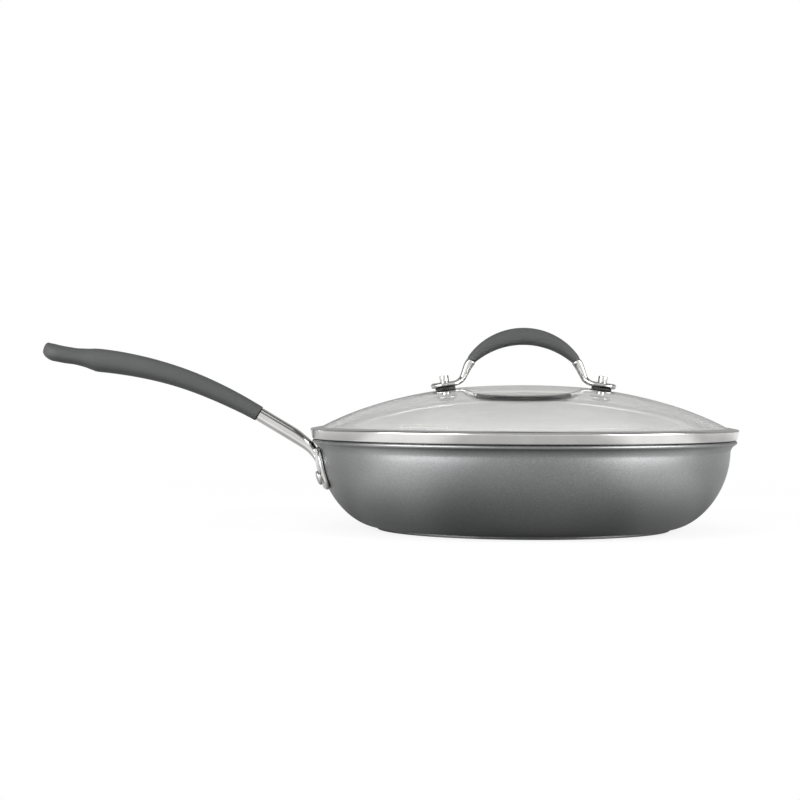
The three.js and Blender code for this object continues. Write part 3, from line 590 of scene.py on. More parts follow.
def neck_bar():
    """Bar from its root in the flange along the neck and through the sleeve to the eye."""
    widths = [
        (0, 25), (9, 24), (24, 19.5), (40, NECK_WIDTH), (NECK_END, NECK_WIDTH), (GRIP_FRONT, TANG_WIDTH),
        (LOOP_START - EYE_WIDTH, TANG_WIDTH), (LOOP_START, EYE_WIDTH), (HANDLE_LENGTH, EYE_WIDTH),
    ]
    tang = [
        (GRIP_FRONT, TANG_THICKNESS / 2), (LOOP_START - EYE_WIDTH, TANG_THICKNESS / 2),
        (LOOP_START, EYE_THICKNESS / 2), (HANDLE_LENGTH, EYE_THICKNESS / 2),
    ]
    heights = [
        (0, -2.8), (12, -3.4), (18, -2.5), (21, -1.3), (24, 0.2), (28, 1.8), (33.5, 3.3), (46, 4.9),
        (NECK_END, 4.9),
    ] + tang
    depths = [
        (0, 4.2), (12, 5.2), (18, 5.9), (24, 6.0), (28, 5.7), (34, 5.1), (46, 5.0), (NECK_END, 4.9),
    ] + tang
    rings = []
    distances = np.concatenate([
        np.linspace(0, NECK_END, 70),
        np.linspace(GRIP_FRONT, LOOP_START, 60),
        TANG_END - EYE_WIDTH / 2 * np.linspace(1, 0.02, 16) ** 2,
    ])
    for distance in distances:
        width = smooth_keys(widths, distance) * round_end(TANG_END - distance, EYE_WIDTH / 2)
        above, below = smooth_keys(heights, distance), smooth_keys(depths, distance)
        half = (above + below) / 2
        rings.append(section_ring(HANDLE, distance, width, half, half, lift=(above - below) / 2))
    return mesh_object("pan_handle_core", *loft(rings))


def on_wall(across, height, out):
    """Point off the pan's wall on the handle's side: a way across, a height, and a distance straight out."""
    place, heading = wall_at(height)
    spot = beside(place, heading, -out)
    angle = math.asin(across / place[0])
    return -spot[0] * math.cos(angle), spot[0] * math.sin(angle), spot[1]


def split_ring(ring, steps=6):
    """Ring with the long straight runs between its corners split."""
    dense = []
    for index, spot in enumerate(ring):
        dense.append(spot)
        if (index + 1) % FLANGE_CORNER_POINTS == 0:
            after = ring[(index + 1) % len(ring)]
            for share in np.linspace(0, 1, steps + 1)[1:-1]:
                dense.append(tuple(a + (b - a) * share for a, b in zip(spot, after)))
    return dense


def flange_plate():
    """Plate with round corners and rounded edges that follows the wall."""
    middle = (FLANGE_TOP + FLANGE_BOTTOM) / 2
    levels = [(FLANGE_CORNER, GAP), (FLANGE_EDGE, GAP)]
    for angle in quarter_turn(5):
        levels.append((FLANGE_EDGE * (1 - math.sin(angle)), GAP + FLANGE_EDGE * (1 - math.cos(angle))))
    top = GAP + FLANGE_SHEET
    for angle in quarter_turn(5):
        levels.append((FLANGE_EDGE * (1 - math.cos(angle)), top - FLANGE_EDGE * (1 - math.sin(angle))))
    levels.append((FLANGE_CORNER, top))
    rings = []
    for inset, out in levels:
        ring = []
        for corner, (side_x, side_z) in enumerate([(1, 1), (-1, 1), (-1, -1), (1, -1)]):
            turn = FLANGE_SHOULDER if side_z > 0 else FLANGE_CORNER
            middle_x, middle_z = side_x * (FLANGE_WIDTH / 2 - turn), side_z * (FLANGE_HEIGHT / 2 - turn)
            for angle in quarter_turn(FLANGE_CORNER_POINTS) + corner * math.pi / 2:
                radius = turn - inset
                ring.append((middle_x + radius * math.cos(angle), middle_z + radius * math.sin(angle), out))
        rings.append(ring)
    dense = [split_ring(ring) for ring in rings]
    inner = [[(x * share, z * share, out) for x, z, out in dense[0]] for share in (0.12, 0.4, 0.7)]
    outer = [[(x * share, z * share, out) for x, z, out in dense[-1]] for share in (0.7, 0.4, 0.12)]
    mapped = [[on_wall(x, middle + z, out) for x, z, out in ring] for ring in inner + dense + outer]
    return mesh_object("flange", *loft(mapped))


def loop_slot(length, width, reach, edge):
    """Long hole through the loop of the handle, opened out at both faces by a rounded edge."""
    place, heading = HANDLE(HANDLE_LENGTH - SLOT_FROM_TIP)
    way = np.array([math.cos(heading), math.sin(heading)])
    levels = [(-reach - 4, edge + 2)]
    for angle in quarter_turn(7):
        levels.append((-reach + edge * math.sin(angle), edge * (1 - math.cos(math.pi / 2 - angle))))
    levels += [(-height, grow_by) for height, grow_by in reversed(levels)]
    rings = []
    for height, grow_by in levels:
        radius = width / 2 + grow_by
        ring = []
        for side in (1, -1):
            for angle in np.linspace(-math.pi / 2, math.pi / 2, 17):
                along = side * ((length - width) / 2 + radius * math.cos(angle))
                across = side * radius * math.sin(angle)
                spot = beside(place + along * way, heading, height)
                ring.append((spot[0], across, spot[1]))
        rings.append(ring)
    return mesh_object("slot", *loft(rings))


def make_handle_core(material):
    obj = neck_bar()
    cut(obj, loop_slot(SLOT_LENGTH + 2 * SLOT_LINING, SLOT_WIDTH + 2 * SLOT_LINING, LOOP_THICKNESS, 0.0))
    cut(obj, flange_plate(), "UNION")
    seat(obj, "pan", "polished_steel", material, ["pan_handle_core"], sharp=32)


def make_handle_grip(material):
    """Silicone sleeve: a mouth round the neck, a swelling body and a flattened loop."""
    swell = HANDLE_LENGTH - GRIP_SWELL_FROM_TIP
    widths = [
        (GRIP_FRONT, 21), ((GRIP_FRONT + swell) / 2, 25), (swell, 28), (LOOP_START, LOOP_WIDTH),
        (HANDLE_LENGTH, LOOP_WIDTH),
    ]
    heights = [
        (GRIP_FRONT, 5.6), (88, 5.85), (108, 6.4), (128, 7.0), (148, 7.4), (168, 7.7), (188, 7.9),
        (swell, 7.88), (200.5, 7.65), (204.2, 7.03), (LOOP_START, 6.6), (216, 6.25), (225, 6.1),
        (HANDLE_LENGTH, 5.95),
    ]
    depths = [
        (GRIP_FRONT, 5.6), (84, 5.9), (96, 6.4), (108, 6.7), (124, 6.95), (140, 7.25), (156, 7.75),
        (172, 8.28), (188, 8.74), (swell, 8.9), (200.2, 8.15), (204.2, 7.13), (LOOP_START, 6.4),
        (212.5, 6.22), (220, 6.55), (HANDLE_LENGTH, 6.6),
    ]
    tang_room, neck_room = TANG_THICKNESS / 2 + GAP, NECK_THICKNESS / 2 + GAP
    rings = []
    for distance in (GRIP_FRONT + GRIP_MOUTH, GRIP_FRONT + GRIP_EDGE):
        rings.append(section_ring(HANDLE, distance, TANG_WIDTH + 2 * GAP, tang_room, tang_room))
    rings.append(section_ring(HANDLE, GRIP_FRONT, NECK_WIDTH + 2 * GAP, neck_room, neck_room))
    for angle in quarter_turn(6):
        inset = GRIP_EDGE * (1 - math.sin(angle))
        depth = depths[0][1] - inset
        distance = GRIP_FRONT + GRIP_EDGE * (1 - math.cos(angle))
        rings.append(section_ring(HANDLE, distance, widths[0][1] - 2 * inset, depth, depth))
    tip = HANDLE_LENGTH - LOOP_WIDTH / 2
    distances = np.concatenate([
        np.linspace(GRIP_FRONT + GRIP_MOUTH, tip, 130),
        HANDLE_LENGTH - LOOP_WIDTH / 2 * np.linspace(1, 0.015, 34)[1:] ** 2,
    ])
    for distance in distances:
        rest = HANDLE_LENGTH - distance
        width = smooth_keys(widths, distance) * round_end(rest, LOOP_WIDTH / 2)
        above = smooth_keys(heights, distance) * round_end(rest, TIP_ROUND_ABOVE)
        below = smooth_keys(depths, distance) * round_end(rest, TIP_ROUND_BELOW)
        rings.append(section_ring(HANDLE, distance, width, above, below))
    obj = mesh_object("pan_handle_grip", *loft(rings))
    cut(obj, loop_slot(SLOT_LENGTH, SLOT_WIDTH, LOOP_THICKNESS / 2, SLOT_EDGE))
    seat(obj, "pan", "grey_silicone", material, ["pan_handle_grip"], sharp=50)


def rivet_outline():
    inner, outer = -PAN_WALL - GAP, FLANGE_SHEET + 2 * GAP
    rise = RIVET_HEAD_HEIGHT - RIVET_RIM
    dome = [
        (RIVET_HEAD / 2 * math.cos(angle) ** 0.75, outer + RIVET_RIM + rise * math.sin(angle))
        for angle in quarter_turn(13)
    ]
    foot = [
        (RIVET_INNER_HEAD / 2 * math.sin(angle) ** 0.6, inner - RIVET_INNER_HEIGHT * math.cos(angle))
        for angle in quarter_turn(13)
    ]
    return foot + [(RIVET_SHANK / 2, inner), (RIVET_SHANK / 2, outer), (RIVET_HEAD / 2 - 0.3, outer)] + dome


def make_rivets(tree, material):
    wall, heading = wall_at(FLANGE_BOTTOM + RIVET_RISE)
    turn = math.asin((FLANGE_WIDTH / 2 - RIVET_INSET) / wall[0])
    obj = chain_object("rivets", rivet_outline())
    grow(obj, tree, {
        "Steps": SMALL_STEPS, "Material": material, "Count": 2, "Radius": wall[0] * MM, "Height": wall[1] * MM,
        "Lean": math.pi - heading, "First Angle": math.pi - turn, "Angle Between": 2 * turn,
    })
    seat(obj, "pan", "polished_steel", material, ["near_rivet", "far_rivet"])


# Lid

GLASS_FOOT = SHEET + SEAL + 2 * GAP
FLATNESS = math.sqrt(1 - DOME_ROUNDNESS ** 2)


def dome_slope(radius):
    share = DOME_ROUNDNESS * radius / GLASS_RADIUS
    scale = DOME_RISE / GLASS_RADIUS / (1 - FLATNESS)
    return scale * DOME_ROUNDNESS * share / math.sqrt(1 - share ** 2)


def dome_rise(radius):
    share = DOME_ROUNDNESS * radius / GLASS_RADIUS
    return DOME_RISE * (math.sqrt(1 - share ** 2) - FLATNESS) / (1 - FLATNESS)


def glass_depth(radius):
    return GLASS * math.hypot(1, dome_slope(radius))


BEVEL_RADIUS = GLASS_RADIUS - GLASS_BEVEL
GLASS_TOP_EDGE = GLASS_FOOT + glass_depth(BEVEL_RADIUS) - dome_rise(BEVEL_RADIUS)


def dome_height(radius):
    return GLASS_TOP_EDGE + dome_rise(radius)


def glass_underside(radius):
    return radius, dome_height(radius) - glass_depth(radius)


def make_glass(tree, material):
    radii = np.concatenate([np.linspace(0, CROWN_RADIUS, 61), np.linspace(CROWN_RADIUS, GLASS_RADIUS, 49)[1:]])
    upper = [(radius, dome_height(radius)) for radius in radii[::-1]]
    lower = [glass_underside(radius) for radius in radii if radius < BEVEL_RADIUS - 1]
    lower.append(glass_underside(BEVEL_RADIUS))
    rim_foot = GLASS_FOOT + GLASS_BEVEL
    rim = [(GLASS_RADIUS, rim_foot), (GLASS_RADIUS, (rim_foot + GLASS_TOP_EDGE) / 2)]
    obj = chain_object("lid_glass", lower + rim + upper, LID_BASE)
    grow(obj, tree, {
        "Steps": ROUND_STEPS, "Material": material, "Half Length": RECESS_HALF_LENGTH * MM,
        "Half Width": RECESS_HALF_WIDTH * MM, "Wall": RECESS_WALL * MM,
        "Floor": (LID_BASE + dome_height(0) - RECESS_DEPTH) * MM,
        "Edge Height": (LID_BASE + GLASS_TOP_EDGE) * MM,
        "Edge Radius": GLASS_RADIUS * MM, "Rise": DOME_RISE * MM, "Roundness": DOME_ROUNDNESS,
    })
    seat(obj, "lid", "clear_glass", material, ["lid_glass"])
    obj.visible_shadow = False


def rounded_chain(chain, radius, steps=5):
    """Chain with its inner corners rounded off."""
    made = [np.array(chain[0], float)]
    for before, corner, after in zip(chain, chain[1:], chain[2:]):
        before, corner, after = (np.array(spot, float) for spot in (before, corner, after))
        reach = min(radius, np.linalg.norm(before - corner) * 0.45, np.linalg.norm(after - corner) * 0.45)
        start = corner + (before - corner) / np.linalg.norm(before - corner) * reach
        end = corner + (after - corner) / np.linalg.norm(after - corner) * reach
        for share in np.linspace(0, 1, steps):
            made.append((1 - share) ** 2 * start + 2 * share * (1 - share) * corner + share ** 2 * end)
    return made + [np.array(chain[-1], float)]


def strip(chain, left, right):
    """Closed outline of a strip that runs along a chain."""
    chain = np.array(chain)
    ways = np.gradient(chain, axis=0)
    headings = np.arctan2(ways[:, 1], ways[:, 0])
    near = [beside(place, heading, left) for place, heading in zip(chain, headings)]
    far = [beside(place, heading, right) for place, heading in zip(chain, headings)]
    outline = near + far[::-1]
    return outline + outline[:1]


def make_band(tree, material):
    skirt = WALL_RADIUS - PAN_WALL - SKIRT_PLAY - SHEET / 2
    low = SHEET / 2
    top_radius = GLASS_RADIUS + SEAL + 2 * GAP + BAND_FLARE + SHEET / 2
    top = GLASS_TOP_EDGE + BAND_RAISE + SHEET / 2
    lap = GLASS_RADIUS - BAND_LAP
    lap_height = dome_height(lap) + (GAP + SHEET / 2) * math.hypot(1, dome_slope(lap))
    chain = [
        (skirt, -SKIRT_DEPTH), (skirt, low), (LIP_RADIUS - SHEET / 2, low),
        (top_radius, top), (lap, lap_height),
    ]
    outline = strip(rounded_chain(chain, BAND_ROUNDING), SHEET / 2, -SHEET / 2)
    obj = chain_object("lid_rim_band", outline, LID_BASE)
    grow(obj, tree, {"Steps": ROUND_STEPS, "Material": material})
    seat(obj, "lid", "polished_steel", material, ["lid_rim_band"])


def make_seal(tree, material):
    edge = [
        glass_underside(GLASS_RADIUS - SEAL_LAP), glass_underside(BEVEL_RADIUS),
        (GLASS_RADIUS, GLASS_FOOT + GLASS_BEVEL), (GLASS_RADIUS, GLASS_TOP_EDGE - SEAL_DROP),
    ]
    outline = strip(rounded_chain(edge, SEAL_ROUNDING), -GAP, -GAP - SEAL)
    obj = chain_object("lid_rim_seal", outline, LID_BASE)
    grow(obj, tree, {"Steps": ROUND_STEPS, "Material": material})
    seat(obj, "lid", "black_silicone", material, ["lid_rim_seal"])


FOOT_TILT = math.atan(dome_slope(FOOT_RADIAL))
FOOT_HEIGHT = LID_BASE + dome_height(FOOT_RADIAL)
FOOT_MIDDLE = UPPER_GASKET_HEIGHT + 2 * GAP + FOOT_THICKNESS / 2


def arch():
    """Course of the lid handle from foot to foot, its length, and the grip's reach along it."""
    seat_x = -FOOT_RADIAL - FOOT_MIDDLE * math.sin(FOOT_TILT)
    seat_z = FOOT_HEIGHT + FOOT_MIDDLE * math.cos(FOOT_TILT)
    turn = LEG_SLOPE - FOOT_TILT
    bend_run = FOOT_BEND * (math.sin(LEG_SLOPE) - math.sin(FOOT_TILT))
    straight_run = FOOT_FLAT * math.cos(FOOT_TILT) + LEG_LENGTH * math.cos(LEG_SLOPE)
    shoulder_run = LEG_BEND * (math.sin(LEG_SLOPE) - math.sin(CREST_SPREAD))
    crest = (-seat_x - bend_run - straight_run - shoulder_run) / math.sin(CREST_SPREAD)
    foot = (FOOT_RADIUS + FOOT_FLAT, 0.0)
    start = (seat_x - FOOT_RADIUS * math.cos(FOOT_TILT), seat_z - FOOT_RADIUS * math.sin(FOOT_TILT))
    shoulder = arc(LEG_BEND, CREST_SPREAD - LEG_SLOPE)
    runs = [
        foot, arc(FOOT_BEND, turn), (LEG_LENGTH, 0.0), shoulder, arc(crest, -2 * CREST_SPREAD), shoulder,
        (LEG_LENGTH, 0.0), arc(FOOT_BEND, turn), foot,
    ]
    at, length = course(start, FOOT_TILT, runs)
    return at, length, crest * LID_GRIP_SPREAD


ARCH, ARCH_LENGTH, LID_GRIP_REACH = arch()


def make_lid_bar(material):
    """Bent bar: round legs, thicker on their inner side, that flatten into two feet."""
    middle = ARCH_LENGTH / 2
    screw = middle - FOOT_RADIUS
    crest, leg = LID_GRIP_REACH - CREST_STEP, LID_GRIP_REACH + GAP
    foot = screw - FOOT_FLAT
    ankle = foot - FOOT_BEND
    widths = [
        (0, CREST_WIDTH), (crest, CREST_WIDTH), (leg, LEG_WIDTH), (ankle, LEG_WIDTH),
        (foot, 2 * FOOT_RADIUS - 2), (screw, 2 * FOOT_RADIUS), (middle, 2 * FOOT_RADIUS),
    ]
    depths = [
        (0, CREST_THICKNESS), (crest, CREST_THICKNESS), (leg, LEG_THICKNESS), (ankle, ANKLE_THICKNESS),
        (foot, FOOT_THICKNESS), (middle, FOOT_THICKNESS),
    ]
    inwards = [(crest, 0.0), (leg, 0.6), (ankle, 0.4), (foot, 0.0)]
    half = np.concatenate([
        np.linspace(0, crest, 12), np.linspace(crest + 0.5, screw, 60),
        middle - FOOT_RADIUS * np.linspace(1, 0.02, 24)[1:] ** 2,
    ])
    rings = []
    for distance in np.concatenate([-half[:0:-1], half]):
        reach = abs(distance)
        width = smooth_keys(widths, reach) * round_end(middle - reach, FOOT_RADIUS)
        depth = smooth_keys(depths, reach) / 2
        inward = smooth_keys(inwards, reach)
        rounding = round_end(middle - reach, FOOT_EDGE)
        above, below = (depth - inward) * rounding, (depth + inward) * rounding
        rings.append(section_ring(ARCH, middle + distance, width, above, below))
    obj = mesh_object("lid_handle_bar", *loft(rings))
    seat(obj, "lid", "polished_steel", material, ["lid_handle_bar"], sharp=50)


def make_lid_grip(material):
    """Silicone sleeve on the arch, thickest in its middle, with a rounded mouth at each end."""
    middle, reach, edge = ARCH_LENGTH / 2, LID_GRIP_REACH, LID_GRIP_EDGE
    room = CREST_THICKNESS / 2 + GAP

    def end_rings(side):
        mouth = middle + side * (reach - LID_GRIP_MOUTH)
        made = [section_ring(ARCH, mouth, CREST_WIDTH + 2 * GAP, room, room)]
        for angle in quarter_turn(7)[:-1]:
            inset = edge * (1 - math.sin(angle))
            depth = LID_GRIP_END_THICKNESS / 2 - inset
            distance = middle + side * (reach - edge * (1 - math.cos(angle)))
            made.append(section_ring(ARCH, distance, LID_GRIP_END_WIDTH - 2 * inset, depth, depth))
        return made

    rings = end_rings(-1)
    for share in np.linspace(-1, 1, 80)[1:-1] * (reach - edge) / reach:
        width = LID_GRIP_WIDTH + (LID_GRIP_END_WIDTH - LID_GRIP_WIDTH) * share ** 2
        depth = LID_GRIP_THICKNESS + (LID_GRIP_END_THICKNESS - LID_GRIP_THICKNESS) * share ** 2
        rings.append(section_ring(ARCH, middle + share * reach, width, depth / 2, depth / 2))
    rings += end_rings(1)[::-1]
    obj = mesh_object("lid_handle_grip", *loft(rings))
    seat(obj, "lid", "grey_silicone", material, ["lid_handle_grip"], sharp=50)


def collar_outline(diameter, hole, low, high, edge):
    """Closed outline of a flat ring with its outer edges rounded."""
    inner, between_sides, outer = hole / 2, (hole + diameter) / 4, diameter / 2
    outside = [(between_sides, low), (outer, low), (outer, high), (between_sides, high)]
    return [(inner, low)] + rounded_chain(outside, edge) + [(inner, high), (inner, low)]


def make_fastenings(tree, steel, black):
    """Both sets of foot fastenings, from the nut down to the screw, as rings of two."""
    hole = SCREW + 2 * GAP
    nut_low = FOOT_MIDDLE + FOOT_THICKNESS / 2 + GAP
    nut_seat = nut_low - GAP + TOUCH
    lower_top = -GLASS - GAP
    washer_top = lower_top - LOWER_GASKET_HEIGHT - GAP
    screw_seat = washer_top - WASHER_HEIGHT - GAP
    nut_top = nut_low + NUT_HEIGHT
    nut_side = [(NUT / 4, nut_seat), (NUT / 2, nut_seat), (NUT / 2, nut_top), (0, nut_top)]
    nut = [(0, nut_seat)] + rounded_chain(nut_side, NUT_EDGE)
    foot_low = UPPER_GASKET_HEIGHT + 2 * GAP
    upper = collar_outline(UPPER_GASKET, hole, TOUCH, foot_low - TOUCH, UPPER_GASKET_EDGE)
    lower_low = lower_top - LOWER_GASKET_HEIGHT
    lower = collar_outline(LOWER_GASKET, hole, lower_low, -GLASS - TOUCH, LOWER_GASKET_EDGE)
    washer = collar_outline(WASHER, hole, screw_seat + TOUCH, washer_top + GAP - TOUCH, WASHER_EDGE)
    head = [
        (SCREW_HEAD / 2 * math.sin(angle), screw_seat - SCREW_HEAD_HEIGHT * math.cos(angle))
        for angle in quarter_turn(13)
    ]
    screw = head + [(SCREW / 2, screw_seat), (SCREW / 2, nut_low - GAP), (0, nut_low - GAP)]
    kinds = [
        ("barrel_nut", nut, steel, "polished_steel"),
        ("upper_gasket", upper, black, "black_silicone"),
        ("lower_gasket", lower, black, "black_silicone"),
        ("washer", washer, steel, "polished_steel"),
        ("screw", screw, steel, "polished_steel"),
    ]
    for name, outline, material, slot in kinds:
        obj = chain_object(name + "s", outline)
        grow(obj, tree, {
            "Steps": SMALL_STEPS, "Material": material, "Count": 2, "Radius": FOOT_RADIAL * MM,
            "Height": FOOT_HEIGHT * MM, "Lean": FOOT_TILT, "First Angle": 0.0, "Angle Between": math.pi,
        })
        seat(obj, "lid", slot, material, ["left_" + name, "right_" + name])


# Materials

def new_material(name):
    material = bpy.data.materials.new(name)
    material.use_nodes = True
    tree = material.node_tree
    return material, tree, tree.nodes["Principled BSDF"]


def object_place(tree):
    return add(tree, "ShaderNodeTexCoord", {}).outputs["Object"]


def noise(tree, place, scale, detail=2.0, roughness=0.5):
    inputs = {"Vector": place, "Scale": scale, "Detail": detail, "Roughness": roughness}
    return add(tree, "ShaderNodeTexNoise", inputs).outputs[0]


def ramp(tree, value, stops):
    node = add(tree, "ShaderNodeValToRGB", {0: value})
    elements = node.color_ramp.elements
    while len(elements) < len(stops):
        elements.new(0.5)
    for element, (place, colour) in zip(elements, stops):
        element.position = place
        element.color = (*colour, 1.0)
    return node.outputs[0]


def between(tree, value, low, high):
    return add(tree, "ShaderNodeMapRange", {"Value": value, "To Min": low, "To Max": high}).outputs[0]


def bump(tree, shader, height, strength, distance):
    node = add(tree, "ShaderNodeBump", {"Height": height, "Strength": strength, "Distance": distance})
    tree.links.new(node.outputs[0], shader.inputs["Normal"])


def anodised_aluminium():
    """Dark grey hard-anodised surface with a fine metallic grain."""
    material, tree, shader = new_material("anodised_aluminium")
    place = object_place(tree)
    grain = noise(tree, place, 1500.0, 3.0, 0.7)
    drift = noise(tree, place, 14.0, 2.0)
    mixed = calc(tree, "MULTIPLY_ADD", drift, 0.25, calc(tree, "MULTIPLY", grain, 0.75))
    colour = ramp(tree, mixed, [
        (0.3, (0.2, 0.204, 0.207)), (0.5, (0.26, 0.263, 0.265)), (0.72, (0.38, 0.381, 0.376)),
    ])
    tree.links.new(colour, shader.inputs["Base Color"])
    tree.links.new(between(tree, grain, 0.32, 0.44), shader.inputs["Roughness"])
    shader.inputs["Metallic"].default_value = 1.0
    bump(tree, shader, grain, 0.12, 0.0004)
    return material


def satin_steel(name, along):
    """Satin steel with faint polishing lines that run one way: round the lid, or along a bar."""
    material, tree, shader = new_material(name)
    place = object_place(tree)
    spot = add(tree, "ShaderNodeSeparateXYZ", {0: place}).outputs
    if along == "round":
        angle = calc(tree, "ARCTAN2", spot[1], spot[0])
        ways = [(angle, 3.0), (length_of(tree, spot[0], spot[1]), 2500.0), (spot[2], 2500.0)]
    else:
        ways = [(spot[0], 90.0), (spot[1], 400.0), (spot[2], 90.0)]
    stretched = {index: calc(tree, "MULTIPLY", way, scale) for index, (way, scale) in enumerate(ways)}
    lines = add(tree, "ShaderNodeCombineXYZ", stretched).outputs[0]
    streak = noise(tree, lines, 1.0, 3.0)
    cloud = noise(tree, place, 60.0, 2.0)
    colour = ramp(tree, cloud, [(0.3, (0.61, 0.605, 0.595)), (0.7, (0.67, 0.665, 0.655))])
    tree.links.new(colour, shader.inputs["Base Color"])
    tree.links.new(between(tree, streak, 0.15, 0.22), shader.inputs["Roughness"])
    shader.inputs["Metallic"].default_value = 1.0
    bump(tree, shader, streak, 0.004, 0.0002)
    return material


def grey_silicone():
    """Matte dark grey silicone with a very fine skin texture."""
    material, tree, shader = new_material("grey_silicone")
    place = object_place(tree)
    skin = noise(tree, place, 1100.0, 3.0, 0.6)
    drift = noise(tree, place, 30.0, 3.0)
    mixed = calc(tree, "MULTIPLY_ADD", drift, 0.6, calc(tree, "MULTIPLY", skin, 0.4))
    colour = ramp(tree, mixed, [(0.3, (0.069, 0.072, 0.072)), (0.7, (0.091, 0.094, 0.093))])
    tree.links.new(colour, shader.inputs["Base Color"])
    tree.links.new(between(tree, skin, 0.55, 0.7), shader.inputs["Roughness"])
    shader.inputs["Specular IOR Level"].default_value = 0.4
    bump(tree, shader, skin, 0.25, 0.0003)
    return material


def black_silicone():
    """Black sealing silicone."""
    material, tree, shader = new_material("black_silicone")
    skin = noise(tree, object_place(tree), 800.0, 2.0)
    colour = ramp(tree, skin, [(0.3, (0.014, 0.014, 0.015)), (0.7, (0.024, 0.024, 0.025))])
    tree.links.new(colour, shader.inputs["Base Color"])
    tree.links.new(between(tree, skin, 0.45, 0.6), shader.inputs["Roughness"])
    bump(tree, shader, skin, 0.15, 0.0003)
    return material


def clear_glass():
    """Clear tempered glass with a faint grey tint and slight press waves."""
    material, tree, shader = new_material("clear_glass")
    place = object_place(tree)
    wave = noise(tree, place, 22.0, 1.0)
    colour = ramp(tree, wave, [(0.35, (0.96, 0.962, 0.95)), (0.65, (0.975, 0.977, 0.965))])
    tree.links.new(colour, shader.inputs["Base Color"])
    shader.inputs["Roughness"].default_value = 0.0
    shader.inputs["IOR"].default_value = 1.5
    shader.inputs["Transmission Weight"].default_value = 1.0
    bump(tree, shader, wave, 0.03, 0.002)
    tint = add(tree, "ShaderNodeVolumeAbsorption", {"Color": (0.33, 0.335, 0.3, 1.0), "Density": 10.0})
    tree.links.new(tint.outputs[0], tree.nodes["Material Output"].inputs["Volume"])
    return material


# Stage

def plain_ray(tree):
    """1 where a camera, mirror or see-through ray looks, and 0 for the light that falls on things."""
    path = add(tree, "ShaderNodeLightPath", {}).outputs
    seen = calc(tree, "MAXIMUM", path["Is Camera Ray"], path["Is Glossy Ray"])
    return calc(tree, "MAXIMUM", seen, path["Is Transmission Ray"])


def make_floor():
    """Pale round floor that fades into the white backdrop and keeps the shadow. In reflections it shows a
    painted shadow round the pan and painted pools of light at its sides.
    """
    points = [
        (FLOOR_RADIUS * math.cos(angle), FLOOR_RADIUS * math.sin(angle), -FLOOR_DROP)
        for angle in np.linspace(0, 2 * math.pi, 65)[:-1]
    ]
    floor = mesh_object("floor", points, [tuple(range(len(points)))])
    material = bpy.data.materials.new("floor_white")
    material.use_nodes = True
    tree = material.node_tree
    tree.nodes.clear()
    paint = add(tree, "ShaderNodeBsdfDiffuse", {"Color": (FLOOR_TONE, FLOOR_TONE, FLOOR_TONE, 1.0)}).outputs[0]
    place = object_place(tree)
    away = add(tree, "ShaderNodeVectorMath", {0: place}, operation="LENGTH").outputs["Value"]
    # Painted shadow for mirror rays: the floor looks dark close round the pan and fades out over the given
    # distances
    clear = soft_step(tree, away, *FLOOR_PAINTED_SHADE)
    path = add(tree, "ShaderNodeLightPath", {}).outputs
    straight = calc(tree, "MAXIMUM", path["Is Camera Ray"], path["Is Transmission Ray"])
    # Painted pools of light for mirror rays: the floor looks brighter on its left and right, between the given
    # angles from the camera's line
    spot = add(tree, "ShaderNodeSeparateXYZ", {0: place}).outputs
    aside = calc(tree, "ARCTAN2", calc(tree, "ABSOLUTE", spot[0]), calc(tree, "MULTIPLY", spot[1], -1.0))
    lit = calc(tree, "SUBTRACT", soft_step(tree, aside, *PAINTED_LIGHT_FROM), soft_step(tree, aside, *PAINTED_LIGHT_UNTIL))
    level = calc(tree, "MULTIPLY", between(tree, clear, 0.1, 1.0), between(tree, lit, 0.46, 1.0))
    # Mirror rays see the floor's emission set by this painted shadow and these painted pools of light
    painted_reflection = calc(tree, "MULTIPLY", path["Is Glossy Ray"], level)
    lift = calc(tree, "MAXIMUM", calc(tree, "MULTIPLY", straight, FLOOR_LIFT), painted_reflection)
    glow = add(tree, "ShaderNodeEmission", {"Color": (1.0, 1.0, 1.0, 1.0), "Strength": lift}).outputs[0]
    near = add(tree, "ShaderNodeAddShader", {0: paint, 1: glow}).outputs[0]
    far = add(tree, "ShaderNodeEmission", {"Strength": plain_ray(tree)}).outputs[0]
    fade = soft_step(tree, away, *FLOOR_FADE)
    mixed = add(tree, "ShaderNodeMixShader", {0: fade, 1: near, 2: far}).outputs[0]
    out = add(tree, "ShaderNodeOutputMaterial", {})
    tree.links.new(mixed, out.inputs["Surface"])
    floor.data.materials.append(material)


def make_world():
    """White room that metal mirrors darker overhead and behind, with plain light on the object."""
    world = bpy.data.worlds.new("studio")
    bpy.context.scene.world = world
    world.use_nodes = True
    tree = world.node_tree
    way = add(tree, "ShaderNodeTexCoord", {}).outputs["Generated"]
    aim = add(tree, "ShaderNodeSeparateXYZ", {0: way}).outputs
    overhead = soft_step(tree, aim[2], 0.4, 0.75)
    behind = soft_step(tree, aim[1], -0.2, 0.3)
    room = calc(tree, "MULTIPLY", between(tree, overhead, 1.0, 0.15), between(tree, behind, 1.0, 0.42))
    path = add(tree, "ShaderNodeLightPath", {}).outputs
    straight = calc(tree, "MAXIMUM", path["Is Camera Ray"], path["Is Transmission Ray"])
    lit = add(tree, "ShaderNodeMix", {"Factor": path["Is Glossy Ray"], "A": ROOM_LIGHT, "B": room}).outputs[0]
    level = calc(tree, "MAXIMUM", straight, lit)
    tree.links.new(level, tree.nodes["Background"].inputs["Strength"])
    tree.nodes["Background"].inputs["Color"].default_value = (1.0, 1.0, 1.0, 1.0)


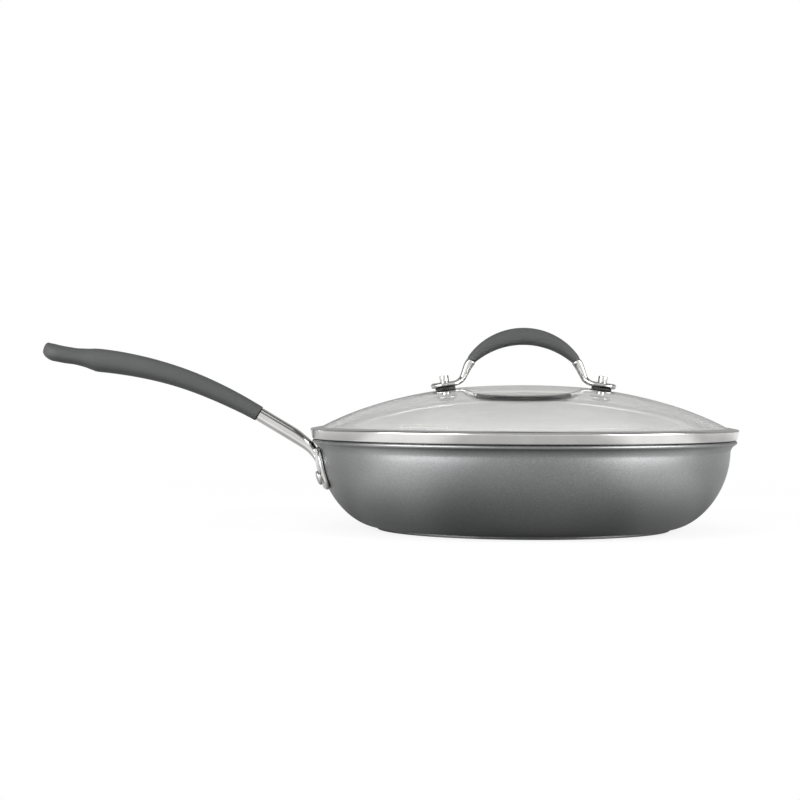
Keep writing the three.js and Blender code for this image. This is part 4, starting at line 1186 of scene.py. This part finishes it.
def softbox(name, place, target, width, height, power):
    lamp = bpy.data.lights.new(name, "AREA")
    lamp.shape = "RECTANGLE"
    lamp.size, lamp.size_y = width, height
    lamp.energy = power
    obj = bpy.data.objects.new(name, lamp)
    obj.location = place
    obj.rotation_euler = (Vector(target) - Vector(place)).to_track_quat("-Z", "Y").to_euler()
    bpy.context.scene.collection.objects.link(obj)


def make_lights():
    softbox("left_softbox", (-1.1, -0.7, 0.42), (0.0, 0.0, 0.06), 1.1, 0.8, 17.0)
    softbox("right_softbox", (1.15, -0.61, 0.42), (0.0, 0.0, 0.06), 1.0, 0.8, 16.0)
    softbox("top_softbox", (0.0, 0.1, 1.5), (0.0, 0.0, 0.05), 1.2, 1.0, 4.0)


def make_camera():
    camera = bpy.data.cameras.new("camera")
    camera.sensor_width = SENSOR_WIDTH
    camera.lens = LENS
    camera.clip_start, camera.clip_end = 0.05, 50.0
    obj = bpy.data.objects.new("camera", camera)
    obj.location = CAMERA_PLACE
    obj.rotation_euler = (CAMERA_TILT, CAMERA_ROLL, 0.0)
    bpy.context.scene.collection.objects.link(obj)
    bpy.context.scene.camera = obj


def main():
    bpy.context.scene.view_settings.view_transform = "Standard"
    make_camera()
    make_world()
    make_lights()
    make_floor()
    pan_metal = anodised_aluminium()
    bar_steel = satin_steel("satin_steel", "along")
    rim_steel = satin_steel("rolled_steel", "round")
    grey, black, glass = grey_silicone(), black_silicone(), clear_glass()
    spun = spun_tree()
    spun_piece, ring, pressed = spun_piece_tree(spun), ring_tree(spun), pressed_tree(spun)

    body = chain_object("pan_body", pan_outline())
    grow(body, spun_piece, {"Steps": ROUND_STEPS, "Material": pan_metal})
    seat(body, "pan", "anodised_aluminium", pan_metal, ["pan_body"])
    make_handle_core(bar_steel)
    make_handle_grip(grey)
    make_rivets(ring, bar_steel)
    make_glass(pressed, glass)
    make_band(spun_piece, rim_steel)
    make_seal(spun_piece, black)
    make_lid_bar(bar_steel)
    make_lid_grip(grey)
    make_fastenings(ring, bar_steel, black)


main()
